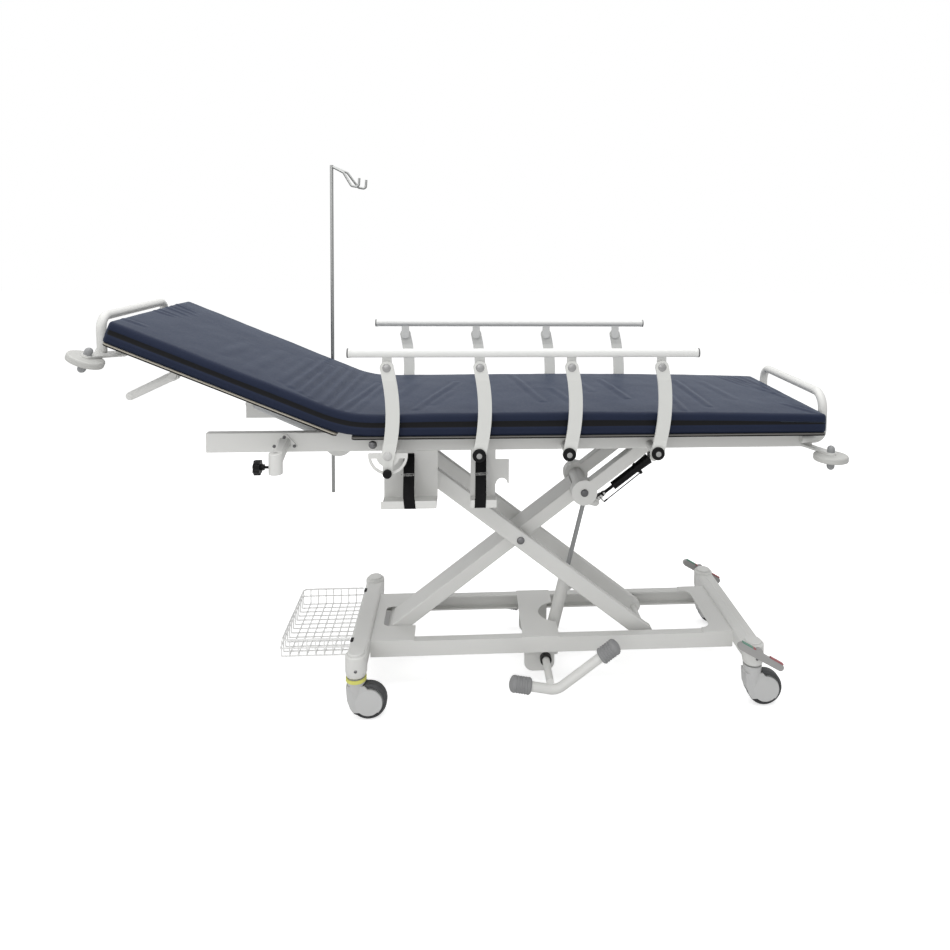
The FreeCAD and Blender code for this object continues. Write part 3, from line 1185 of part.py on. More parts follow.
def bumper_roller(x, y, z_mid):
    """Thick soft-edged disc that turns on its pin."""
    half = BUMPER_THICKNESS / 2
    edge = BUMPER_EDGE_R
    return revolve_z(x, y, [
        (BUMPER_PIN_R + FIT, z_mid - half), (BUMPER_R - edge, z_mid - half),
        (BUMPER_R - edge * 0.3, z_mid - half + edge * 0.3),
        (BUMPER_R, z_mid - half + edge), (BUMPER_R, z_mid + half - edge),
        (BUMPER_R - edge * 0.3, z_mid + half - edge * 0.3),
        (BUMPER_R - edge, z_mid + half), (BUMPER_PIN_R + FIT, z_mid + half),
    ])


def seat_board():
    """Thin panel that the seat mattress lies on."""
    panel = box(BACK_HINGE_X + BACK_KNOB_R + BACK_HINGE_GAP, SEAT_FOOT_X, -BOARD_HALF_WIDTH,
        BOARD_HALF_WIDTH,
                DECK_RAIL_TOP_Z, BOARD_TOP_Z)
    return [panel.makeFillet(12, [e for e in panel.Edges if abs(e.tangentAt(e.FirstParameter).z) > 0.9])]


def cushion(hinge_end, free_end):
    """Plain closed form of a mattress section, cut back at the hinge so that it can fold."""
    z0, z1 = MATTRESS_BOTTOM_Z, MATTRESS_BOTTOM_Z + MATTRESS_THICKNESS
    way = 1 if free_end > hinge_end else -1
    slope = way * MATTRESS_THICKNESS * math.tan(math.radians(BACK_ANGLE + BACK_FOLD) / 2)
    pad = plate_xz([(hinge_end, z0), (free_end, z0), (free_end, z1), (hinge_end + slope, z1)],
                   -BOARD_HALF_WIDTH, BOARD_HALF_WIDTH)
    corners = [
        e for e in pad.Edges
        if abs(e.tangentAt(e.FirstParameter).z) > 0.9 and abs(e.BoundBox.XMin - free_end) < 1
    ]
    return pad.makeFillet(MATTRESS_CORNER_R, corners)


def seat_mattress():
    return [cushion(BACK_HINGE_X + CUSHION_START, SEAT_FOOT_X + 2)]


def back_mattress():
    return [tilt_with_back(cushion(BACK_HINGE_X - CUSHION_START, BACK_HINGE_X - BACK_LENGTH - 2))]


def backrest_board():
    flat = box(BACK_HINGE_X - BACK_LENGTH, BACK_HINGE_X - BACK_BOARD_START, -BOARD_HALF_WIDTH,
        BOARD_HALF_WIDTH,
               DECK_RAIL_TOP_Z, BOARD_TOP_Z)
    flat = flat.makeFillet(12, [e for e in flat.Edges if abs(e.tangentAt(e.FirstParameter).z) > 0.9])
    return [tilt_with_back(flat)]


def backrest_frame():
    """Tube frame under the backrest board with its hinge knuckles, head handle, bumper arms and brackets."""
    top = DECK_RAIL_TOP_Z
    low = top - BACK_FRAME_HEIGHT
    outer = BACK_FRAME_OUTER_Y
    inner = outer - BACK_FRAME_WIDTH
    head_x = BACK_HINGE_X - BACK_LENGTH + 4
    pieces = []
    for side in (-1, 1):
        bar = box(head_x, BACK_HINGE_X - 14, side * inner, side * outer, low, top)
        knuckle = link_xz(BACK_HINGE, (BACK_HINGE_X - 24, low + 8), BACK_PIN_R + BACK_KNUCKLE_WALL, 8,
            side * inner, side * outer)
        pieces += [bar, knuckle]
    strut_flat = on_flat(STRUT_HIGH)
    for x0 in (head_x, BACK_HINGE_X - 60):
        pieces.append(box(x0, x0 + 24, -outer, outer, low, top))
    pieces.append(box(strut_flat[0] - 12, strut_flat[0] + 12, -outer, outer,
        top - BACK_STRUT_BAR_HEIGHT, top))
    for side in (-1, 1):
        y0 = STRUT_Y + side * LUG_Y
        pieces.append(link_xz(strut_flat, (strut_flat[0], top - STRUT_EYE_R - 2), STRUT_EYE_R + 1,
            STRUT_EYE_R + 1, y0, y0 + side * LUG_THICKNESS))
    pieces.append(rod_y(strut_flat, STRUT_Y - LUG_Y - 8, STRUT_Y + LUG_Y + 8, STRUT_PIN_R))
    pivot = release_pivot_flat()
    for side in (-1, 1):
        y0 = side * (RELEASE_ARM_Y + RELEASE_R + GAP)
        pieces.append(link_xz(pivot, (pivot[0], top - 10), 9, 9, y0, y0 + side * 5))
        pieces.append(rod_y(pivot, side * (RELEASE_ARM_Y + RELEASE_R + 3),
            side * (RELEASE_ARM_Y - RELEASE_R - 2), 5))
        pieces.append(box(pivot[0] - 10, pivot[0] + 10, y0, side * outer, top - 10, top - 2))
    whole = fuse(pieces)
    for side in (-1, 1):
        whole = whole.cut(rod_y((BACK_HINGE[0], BACK_HINGE[1]), side * (inner - 1), side * (outer + 1),
            BACK_PIN_R + FIT))
    whole = tilt_with_back(whole)
    return [fuse([whole] + [head_handle()] + head_bumper_arms())]


def on_flat(point):
    """(x, z) on the flat backrest of a point given on the raised one."""
    dx, dz = point[0] - BACK_HINGE[0], point[1] - BACK_HINGE[1]
    return (
        BACK_HINGE[0] + dx * math.cos(BACK_RAD) - dz * math.sin(BACK_RAD),
        BACK_HINGE[1] + dx * math.sin(BACK_RAD) + dz * math.cos(BACK_RAD),
    )


def head_handle():
    """Head push handle: an inverted U of round tube that stands on the bumper arms and leans away."""
    lean = math.radians(BACK_HANDLE_LEAN)
    foot_up = BUMPER_THICKNESS / 2 + GAP + BUMPER_ARM_THICKNESS - BUMPER_HEAD_DROP
    foot = on_back(BACK_LENGTH + BACK_HANDLE_OVERHANG - 2, foot_up - 2)
    top = on_back(BACK_LENGTH + BACK_HANDLE_OVERHANG + (BACK_HANDLE_RISE - foot_up) * math.tan(lean),
        BACK_HANDLE_RISE)
    runs = [
        vec(foot[0], -HANDLE_LEG_Y, foot[1]), vec(top[0], -HANDLE_LEG_Y, top[1]), vec(top[0], 0, top[1]),
    ]
    return push_handle(runs, [HANDLE_BEND_R * 0.8])


def head_bumper_arms():
    """Arms of the two head bumpers, square to the backrest."""
    arms = []
    centre = bumper_head_flat()
    for side in (-1, 1):
        z0 = centre[1] + BUMPER_THICKNESS / 2 + GAP
        root = vec(BACK_HINGE_X - BACK_LENGTH + 16, side * (BACK_FRAME_OUTER_Y - 10), 0)
        arm = bumper_arm(root, vec(centre[0], side * BUMPER_Y, 0), z0)
        y0 = side * (BACK_FRAME_OUTER_Y - 20)
        drop = box(root.x - 12, root.x + 12, y0, side * BACK_FRAME_OUTER_Y, z0,
            DECK_RAIL_TOP_Z - BACK_FRAME_HEIGHT + 1)
        leg_x = BACK_HINGE_X - BACK_LENGTH - BACK_HANDLE_OVERHANG
        seat = rod_z(leg_x, side * HANDLE_LEG_Y, z0, z0 + BUMPER_ARM_THICKNESS, HANDLE_R + 3)
        arms.append(tilt_with_back(fuse([arm, drop, seat])))
    return arms


def bumper_head_flat():
    """(x, z) of the head bumper's middle on the flat backrest."""
    return (BACK_HINGE[0] - BACK_LENGTH - BUMPER_HEAD_OVERHANG, BACK_HINGE[1] - BUMPER_HEAD_DROP)


def release_pivot_flat():
    """(x, z) of the release bar's pivot on the flat backrest."""
    return (BACK_HINGE_X - RELEASE_DISTANCE, DECK_RAIL_TOP_Z - RELEASE_DROP)


def release_bar():
    """Cross bar under the head of the backrest that frees its gas strut, on two short arms."""
    flat = release_pivot_flat()
    back = (flat[0] - BACK_HINGE[0], flat[1] - BACK_HINGE[1])
    pivot = (
        BACK_HINGE[0] + back[0] * math.cos(BACK_RAD) + back[1] * math.sin(BACK_RAD),
        BACK_HINGE[1] - back[0] * math.sin(BACK_RAD) + back[1] * math.cos(BACK_RAD),
    )
    slope = math.radians(RELEASE_ANGLE)
    end = (pivot[0] - RELEASE_LENGTH * math.cos(slope), pivot[1] - RELEASE_LENGTH * math.sin(slope))
    y = RELEASE_ARM_Y
    points = [vec(pivot[0], -y, pivot[1]), vec(end[0], -y, end[1]), vec(end[0], y, end[1]),
        vec(pivot[0], y, pivot[1])]
    bar = bent_bar(points, RELEASE_R, RELEASE_BEND_R)
    for side in (-1, 1):
        bar = bar.fuse(rod_y(pivot, side * (y - RELEASE_R), side * (y + RELEASE_R), RELEASE_R + 1))
        bar = bar.cut(rod_y(pivot, side * (y - RELEASE_R - 3), side * (y + RELEASE_R + 1), 5 + FIT))
    return [bar.removeSplitter()]


def back_strut_body():
    body = spring_body(STRUT_BODY_LENGTH, STRUT_R, STRUT_BORE_R, STRUT_EYE_R, STRUT_PIN_R, LUG_Y - 4, 20, 6)
    body = along_arm(body, STRUT_HIGH, heading(STRUT_HIGH, STRUT_LOW))
    body.translate(vec(0, STRUT_Y, 0))
    return [body]


def back_strut_rod():
    bar = Part.makeCylinder(STRUT_ROD_R, STRUT_ROD_LENGTH - 7, vec(7, 0, 0), vec(1, 0, 0))
    eye = ring_y((0, 0), LUG_Y - 4, 4 - LUG_Y, STRUT_EYE_R, STRUT_PIN_R + FIT)
    piece = along_arm(fuse([bar, eye]), STRUT_LOW, heading(STRUT_LOW, STRUT_HIGH))
    piece.translate(vec(0, STRUT_Y, 0))
    return [piece]


def post_outline(x):
    """Curved band from the lower pivot to the top pivot, bulging towards the foot end."""
    half = POST_WIDTH / 2
    low, high = POST_LOW_Z, POST_TOP_Z
    middle = (low + high) / 2
    chord = (high - low) / 2
    outer_bulge = POST_BULGE + half
    inner_bulge = POST_BULGE - half
    outer = Part.Arc(vec(x + half, 0, low), vec(x + outer_bulge, 0, middle),
        vec(x + half, 0, high)).toShape()
    inner = Part.Arc(vec(x - half, 0, high), vec(x + inner_bulge, 0, middle),
        vec(x - half, 0, low)).toShape()
    top = Part.Arc(vec(x + half, 0, high), vec(x, 0, high + half), vec(x - half, 0, high)).toShape()
    bottom = Part.Arc(vec(x - half, 0, low), vec(x, 0, low - half), vec(x + half, 0, low)).toShape()
    return Part.Face(Part.Wire([outer, top, inner, bottom]))


def side_post(index):
    """Near side post: curved in two directions, drilled for both pivots."""
    x = POST_FIRST_X + index * POST_SPACING
    t = POST_THICKNESS / 2
    y_low, y_top = -POST_LOW_Y, -RAIL_BAR_Y
    z_low, z_top = POST_LOW_Z, POST_TOP_Z
    outline = post_outline(x)
    outline.translate(vec(0, y_top - t, 0))
    block = outline.extrude(vec(0, y_low - y_top + 2 * t, 0))
    knee, shoulder = z_low + 34, z_top - 34
    tail_z = z_low - POST_TAIL - PLUNGER_R - 4
    band = plate_yz([
        (y_low - t, tail_z), (y_low + t, tail_z), (y_low + t, knee), (y_top + t, shoulder),
        (y_top + t, z_top + 40),
        (y_top - t, z_top + 40), (y_top - t, shoulder), (y_low - t, knee),
    ], x - 60, x + 90)
    post = block.common(band)
    if index == 0:
        tail = link_xz((x, z_low), (x, z_low - POST_TAIL), POST_WIDTH / 2 - 3, PLUNGER_R, y_low - t,
            y_low + t)
        post = post.fuse(tail)
        post = post.cut(rod_y((x, z_low - POST_TAIL), y_low - t - 1, y_low + t + 1, PLUNGER_PIN_R + FIT))
    post = post.cut(rod_y((x, z_low), y_low - t - 1, y_low + t + 1, POST_PIN_R + FIT))
    post = post.cut(rod_y((x, z_top), y_top - t - 1, y_top + t + 1, POST_PIN_R + FIT))
    return post.removeSplitter()


def rail_bar():
    """Near side rail bar with its tabs, pivot bolts and end caps."""
    start, end = RAIL_BAR_HEAD_X, RAIL_BAR_FOOT_X
    y = -RAIL_BAR_Y
    bar = rod(vec(start + RAIL_BAR_CAP_LENGTH, y, RAIL_BAR_Z),
        vec(end - RAIL_BAR_CAP_LENGTH, y, RAIL_BAR_Z), RAIL_BAR_R)
    caps = [
        rod(vec(start, y, RAIL_BAR_Z), vec(start + RAIL_BAR_CAP_LENGTH, y, RAIL_BAR_Z), RAIL_BAR_R + 0.8),
        rod(vec(end - RAIL_BAR_CAP_LENGTH, y, RAIL_BAR_Z), vec(end, y, RAIL_BAR_Z), RAIL_BAR_R + 0.8),
    ]
    pieces = [bar] + caps
    inner = y + POST_THICKNESS / 2 + GAP
    for i in range(POST_COUNT):
        x = POST_FIRST_X + i * POST_SPACING
        pieces.append(link_xz((x, POST_TOP_Z), (x, RAIL_BAR_Z - 4), TAB_WIDTH / 2, TAB_WIDTH / 2 - 1,
            inner, inner + TAB_THICKNESS))
        pieces.append(rod_y((x, POST_TOP_Z), y - POST_THICKNESS / 2 - 1, inner + 1, POST_PIN_R))
        pieces.append(dome_y((x, POST_TOP_Z), y - POST_THICKNESS / 2 - GAP, -1, POST_BOLT_R, 4))
    return fuse(pieces)


def pivot_discs():
    """Rubber discs with their bolts on the lower pivots, and a plain dome on the first post."""
    pieces = []
    outer = -(POST_LOW_Y + POST_THICKNESS / 2 + GAP)
    for i in range(POST_COUNT):
        spot = (POST_FIRST_X + i * POST_SPACING, POST_LOW_Z)
        if i == 0:
            pieces.append(dome_y(spot, outer, -1, POST_BOLT_R + 1, 6))
            continue
        profile = [
            (0, outer), (POST_DISC_R - 1, outer), (POST_DISC_R, outer - 1),
            (POST_DISC_R, outer - POST_DISC_THICKNESS + 2),
            (POST_DISC_R - 3, outer - POST_DISC_THICKNESS), (0, outer - POST_DISC_THICKNESS),
        ]
        disc = revolve_y(spot, profile)
        pieces.append(disc)
        pieces.append(dome_y(spot, outer - POST_DISC_THICKNESS, -1, POST_BOLT_R, 4))
    return pieces + [mirrored(p) for p in pieces]


def rail_plunger():
    """Spring plunger in the tail of the first post: pull it out and the rail folds."""
    spot = (POST_FIRST_X, POST_LOW_Z - POST_TAIL)
    face = -(POST_LOW_Y + POST_THICKNESS / 2)
    inner = -(POST_LOW_Y - POST_THICKNESS / 2)
    pin = rod_y(spot, inner, face - 2, PLUNGER_PIN_R)
    y0 = face - GAP
    knob = revolve_y(spot, [
        (0, y0), (PLUNGER_R - 3, y0), (PLUNGER_R - 2, y0 - 4), (PLUNGER_R, y0 - 7),
        (PLUNGER_R, y0 - PLUNGER_LENGTH + 3),
        (PLUNGER_R - 3, y0 - PLUNGER_LENGTH), (0, y0 - PLUNGER_LENGTH),
    ])
    return fuse([pin, knob])


def iv_socket(x, side):
    """Cast socket on a diamond flange bolted to the side rail."""
    y_rail = side * DECK_RAIL_OUTER_Y
    flange_x = x + 0.5
    size = SOCKET_FLANGE_SIZE
    mid_z = DECK_RAIL_TOP_Z - 25
    y1 = y_rail + side * SOCKET_FLANGE_THICKNESS
    flange = plate_xz([
        (flange_x - size - 4, mid_z - 12), (flange_x - 6, mid_z + 22), (flange_x + 6, mid_z + 22),
        (flange_x + size + 4, mid_z - 12), (flange_x + size - 4, mid_z - 19),
        (flange_x - size + 4, mid_z - 19),
    ], y_rail, y1)
    bolts = [
        dome_y((flange_x + dx, mid_z + dz), y1 - side, side, 5, 4)
        for dx, dz in ((0, 14), (-size + 3, -11), (size - 3, -11))
    ]
    y_socket = side * SOCKET_Y
    centre_z = (SOCKET_BOTTOM_Z + SOCKET_TOP_Z) / 2
    sections = []
    for y, cx, cz, wide, high in (
        (y1 - side, flange_x, mid_z, 34, 26), (side * (DECK_RAIL_OUTER_Y + 45), flange_x, mid_z - 12,
        28, 28),
        (y_socket - side * 6, x, centre_z, 26, 34),
    ):
        sections.append(rounded_section(cx, y, cz, wide, high))
    arm = Part.makeLoft(sections, True, False)
    barrel = rod_z(x, y_socket, SOCKET_BOTTOM_Z, SOCKET_TOP_Z, SOCKET_R)
    rims = [e for e in barrel.Edges if e.Closed]
    barrel = barrel.makeFillet(2, rims)
    socket = fuse([flange, arm, barrel] + bolts)
    socket = socket.cut(rod_z(x, y_socket, SOCKET_BOTTOM_Z - 1, SOCKET_TOP_Z + 1, SOCKET_BORE_R))
    screw_hole = rod(vec(x - SOCKET_R - 1, y_socket, SOCKET_SCREW_Z), vec(x, y_socket, SOCKET_SCREW_Z),
        SOCKET_SCREW_R + FIT)
    return socket.cut(screw_hole)


def rounded_section(x, y, z, wide, high):
    """Eight-sided closed wire in a plane of constant y."""
    a, b, c = wide / 2, high / 2, 6
    points = [
        (x - a + c, z - b), (x + a - c, z - b), (x + a, z - b + c), (x + a, z + b - c),
        (x + a - c, z + b), (x - a + c, z + b), (x - a, z + b - c), (x - a, z - b + c),
    ]
    corners = [vec(px, y, pz) for px, pz in points]
    return Part.makePolygon(corners + [corners[0]])


def iv_knob(x, side):
    """Lobed clamp knob on its screw."""
    y = side * SOCKET_Y
    points = []
    count = KNOB_LOBES * 4
    for i in range(count):
        angle = 2 * math.pi * i / count
        radius = KNOB_R - 2.2 + 2.2 * math.cos(KNOB_LOBES * angle)
        points.append((radius * math.cos(angle), radius * math.sin(angle)))
    x1 = x - SOCKET_R - KNOB_REACH
    x0 = x1 - KNOB_THICKNESS
    corners = [vec(x0, y + a, SOCKET_SCREW_Z + b) for a, b in points]
    head = Part.Face(Part.makePolygon(corners + [corners[0]])).extrude(vec(KNOB_THICKNESS, 0, 0))
    neck = rod(vec(x1, y, SOCKET_SCREW_Z), vec(x1 + 9, y, SOCKET_SCREW_Z), 8)
    screw = rod(vec(x1 + 8, y, SOCKET_SCREW_Z), vec(x - SOCKET_BORE_R - 0.5, y, SOCKET_SCREW_Z),
        SOCKET_SCREW_R)
    return fuse([head, neck, screw])


def iv_pole():
    """Thin pole in the far socket, with a double hook at the top."""
    radius = SOCKET_BORE_R - POLE_CLEARANCE
    x, y = SOCKET_FAR_X, SOCKET_Y
    pole = rod_z(x, y, POLE_BOTTOM_Z, POLE_TOP_Z, radius)
    pieces = [pole]
    for spread, reach in ((-0.10, POLE_HOOK_REACH * 0.78), (0.16, POLE_HOOK_REACH)):
        tip_x = x + reach
        drop = 30 + 0.22 * reach
        points = [
            vec(x, y, POLE_TOP_Z - 4), vec(x + reach * 0.55, y + spread * reach * 0.6, POLE_TOP_Z - 24),
            vec(tip_x - 6, y + spread * reach, POLE_TOP_Z - drop - 22),
            vec(tip_x + 18, y + spread * reach, POLE_TOP_Z - drop - 26),
            vec(tip_x + 20, y + spread * reach, POLE_TOP_Z - drop + 4),
        ]
        pieces.append(bent_bar(points, POLE_HOOK_R, 9))
    return [fuse(pieces)]


def holder_panels(x0, x1):
    """Back plate, shelf and front lip of one sheet holder, hung from the near rail."""
    t = HOLDER_THICKNESS
    back, front = -HOLDER_BACK_Y, -HOLDER_FRONT_Y
    low, lip = HOLDER_BOTTOM_Z, HOLDER_BOTTOM_Z + HOLDER_LIP
    return [
        box(x0, x1, back - t, back, low, DECK_RAIL_BOTTOM_Z),
        box(x0, x1, front, back - t, low, low + t),
        box(x0, x1, front - t, front, low, lip),
    ]


def bottle_holders():
    """Two sheet holders under the near rail, the narrow one with an open hook at its side."""
    panels = holder_panels(HOLDER_WIDE_X[0], HOLDER_WIDE_X[1]) + holder_panels(HOLDER_NARROW_X[0],
        HOLDER_NARROW_X[1])
    x0 = HOLDER_NARROW_X[1]
    x1 = x0 + HOLDER_EAR_REACH
    z0, z1 = HOLDER_EAR_Z
    ear = box(x0, x1, -HOLDER_BACK_Y - HOLDER_THICKNESS, -HOLDER_BACK_Y, z0, z1)
    notch = rod_y((x0 + HOLDER_EAR_REACH / 2 - 1, z0), -HOLDER_BACK_Y - 9, -HOLDER_BACK_Y + 9,
        HOLDER_EAR_REACH / 2 - 3)
    return panels + [ear.cut(notch)]


def holder_straps():
    """Webbing strap across the front of each holder."""
    straps = []
    t = STRAP_THICKNESS
    back = -HOLDER_BACK_Y - HOLDER_THICKNESS - GAP
    front = -HOLDER_FRONT_Y - HOLDER_THICKNESS - GAP
    low = HOLDER_BOTTOM_Z
    knee = low + HOLDER_LIP + 8
    top = DECK_RAIL_BOTTOM_Z - 10
    slanted = [(back, top), (front, knee), (front - t, knee + 1), (back - t, top)]
    upright = [(front, knee), (front, low), (front - t, low), (front - t, knee + 1)]
    for x0, x1 in (HOLDER_WIDE_X, HOLDER_NARROW_X):
        middle = (x0 + x1) / 2 - 6
        for outline in (slanted, upright):
            straps.append(plate_yz(outline, middle - STRAP_WIDTH / 2, middle + STRAP_WIDTH / 2))
    return straps


def write(name, solids):
    """Saves one node as a STEP file."""
    shape = solids[0] if len(solids) == 1 else Part.makeCompound(solids)
    shape.exportStep(os.path.join(STEP_FOLDER, name + ".step"))
    count = len(shape.Solids)
    print("%-24s solids %3d volume %12.0f valid %s" % (name, count, shape.Volume, shape.isValid()))


def build():
    """Makes every node of the stretcher."""
    os.makedirs(STEP_FOLDER, exist_ok=True)
    write("base_rails", base_rails())
    write("head_cross_member", [cross_member(COLUMN_HEAD_X, False)])
    write("foot_cross_member", [cross_member(COLUMN_FOOT_X, True)])
    write("base_cover_plates", [head_cover_plate(), foot_gusset()])
    write("pump_housing", pump_housing())
    write("pump_pedal", pump_pedal())
    write("pump_pedal_pads", pump_pedal_pads())
    write("ram_cylinder", ram_cylinder())
    write("ram_rod", ram_rod())
    write("wire_basket", basket())
    for name, x, y in caster_points():
        pieces = caster_fork(x, y, name == "head_near")
        write("caster_fork_" + name, pieces[:1])
        if len(pieces) > 1:
            write("caster_ring", pieces[1:])
        write("caster_wheel_" + name, caster_wheel(x, y))
    write("brake_levers", brake_levers())
    write("brake_pads", brake_pads())
    write("inner_arm", inner_arm())
    write("crossing_shaft", crossing_shaft())
    write("outer_arms", outer_arms())
    write("upper_arms", upper_arms())
    write("tilt_spring_body", tilt_spring_body())
    write("tilt_spring_rod", tilt_spring_rod())
    write("deck_pivot_shaft", deck_pivot_shaft())
    write("deck_frame", deck_frame())
    write("seat_board", seat_board())
    write("seat_mattress", seat_mattress())
    write("bottle_holders", bottle_holders())
    write("holder_straps", holder_straps())
    write("iv_sockets", [iv_socket(SOCKET_NEAR_X, -1), iv_socket(SOCKET_FAR_X, 1)])
    write("iv_knob_near", [iv_knob(SOCKET_NEAR_X, -1)])
    write("iv_knob_far", [iv_knob(SOCKET_FAR_X, 1)])
    write("iv_pole", iv_pole())
    write("backrest_frame", backrest_frame())
    write("backrest_board", backrest_board())
    write("back_mattress", back_mattress())
    write("release_bar", release_bar())
    write("back_strut_body", back_strut_body())
    write("back_strut_rod", back_strut_rod())
    write("pivot_discs", pivot_discs())
    head = bumper_head_flat()
    for side_name, side in SIDES:
        write("bumper_foot_" + side_name, [bumper_roller(BUMPER_FOOT_X, side * BUMPER_Y, BUMPER_MID_Z)])
        write("bumper_head_" + side_name, [tilt_with_back(bumper_roller(head[0], side * BUMPER_Y,
            head[1]))])
        place = (lambda s: s) if side < 0 else mirrored
        write("rail_bar_" + side_name, [place(rail_bar())])
        write("rail_plunger_" + side_name, [place(rail_plunger())])
        for i in range(POST_COUNT):
            write("rail_post_%s_%d" % (side_name, i + 1), [place(side_post(i))])


build()
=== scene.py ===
"""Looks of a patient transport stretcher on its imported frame.

The frame gives every rigid part. This script gives them their finishes and adds the
soft pieces and the small trim: the folded mattress, the holder straps, the spring
cover with its release rods, the basket's clips and the plugs of the tubes.
"""

import logging
import math
from dataclasses import dataclass, field
from enum import Enum

import bmesh
import bpy
from mathutils import Matrix, Vector, noise

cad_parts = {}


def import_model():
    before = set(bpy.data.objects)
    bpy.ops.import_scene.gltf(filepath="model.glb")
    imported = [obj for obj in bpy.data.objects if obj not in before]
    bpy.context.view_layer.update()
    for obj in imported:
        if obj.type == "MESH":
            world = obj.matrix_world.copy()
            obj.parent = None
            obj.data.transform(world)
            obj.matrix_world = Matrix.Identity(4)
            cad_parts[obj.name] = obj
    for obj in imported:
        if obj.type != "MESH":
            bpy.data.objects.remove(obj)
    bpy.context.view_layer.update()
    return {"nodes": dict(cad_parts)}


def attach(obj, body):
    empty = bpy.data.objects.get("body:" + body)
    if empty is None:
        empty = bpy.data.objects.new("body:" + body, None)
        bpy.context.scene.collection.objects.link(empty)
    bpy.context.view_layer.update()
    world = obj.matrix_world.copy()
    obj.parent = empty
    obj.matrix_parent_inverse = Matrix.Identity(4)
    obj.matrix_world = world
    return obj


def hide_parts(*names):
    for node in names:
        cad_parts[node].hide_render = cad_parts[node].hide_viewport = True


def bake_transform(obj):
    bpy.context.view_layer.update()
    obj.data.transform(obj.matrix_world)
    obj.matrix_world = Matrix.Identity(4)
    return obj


LOG = logging.getLogger("stretcher")
Colour = tuple[float, float, float]
Point = tuple[float, float, float]


class ZoneShape(Enum):
    """How a zone of a part is marked off."""

    PIN = "pin"
    BLOCK = "block"


class Wire:
    """A shader socket that takes part in arithmetic."""

    def __init__(self, tree: "FinishTree", socket: bpy.types.NodeSocket) -> None:
        """Keeps the tree and the socket."""
        self.tree = tree
        self.socket = socket

    def _math(self, operation: str, first: "Wire | float", second: "Wire | float") -> "Wire":
        """Adds one Math node and returns its output."""
        return self.tree.node("ShaderNodeMath", {"operation": operation}, {0: first, 1: second})

    def __add__(self, other: "Wire | float") -> "Wire":
        """Sum."""
        return self._math("ADD", self, other)

    __radd__ = __add__

    def __sub__(self, other: "Wire | float") -> "Wire":
        """Difference."""
        return self._math("SUBTRACT", self, other)

    def __rsub__(self, other: "Wire | float") -> "Wire":
        """Difference with this socket as the second term."""
        return self._math("SUBTRACT", other, self)

    def __mul__(self, other: "Wire | float") -> "Wire":
        """Product."""
        return self._math("MULTIPLY", self, other)

    __rmul__ = __mul__

    def __pow__(self, other: "Wire | float") -> "Wire":
        """Power."""
        return self._math("POWER", self, other)

    def __gt__(self, other: "Wire | float") -> "Wire":
        """One where this socket is greater, else zero."""
        return self._math("GREATER_THAN", self, other)

    def __lt__(self, other: "Wire | float") -> "Wire":
        """One where this socket is less, else zero."""
        return self._math("LESS_THAN", self, other)

    def sine(self) -> "Wire":
        """Sine of this socket."""
        return self._math("SINE", self, 0.0)

    def size(self) -> "Wire":
        """Absolute value of this socket."""
        return self._math("ABSOLUTE", self, 0.0)


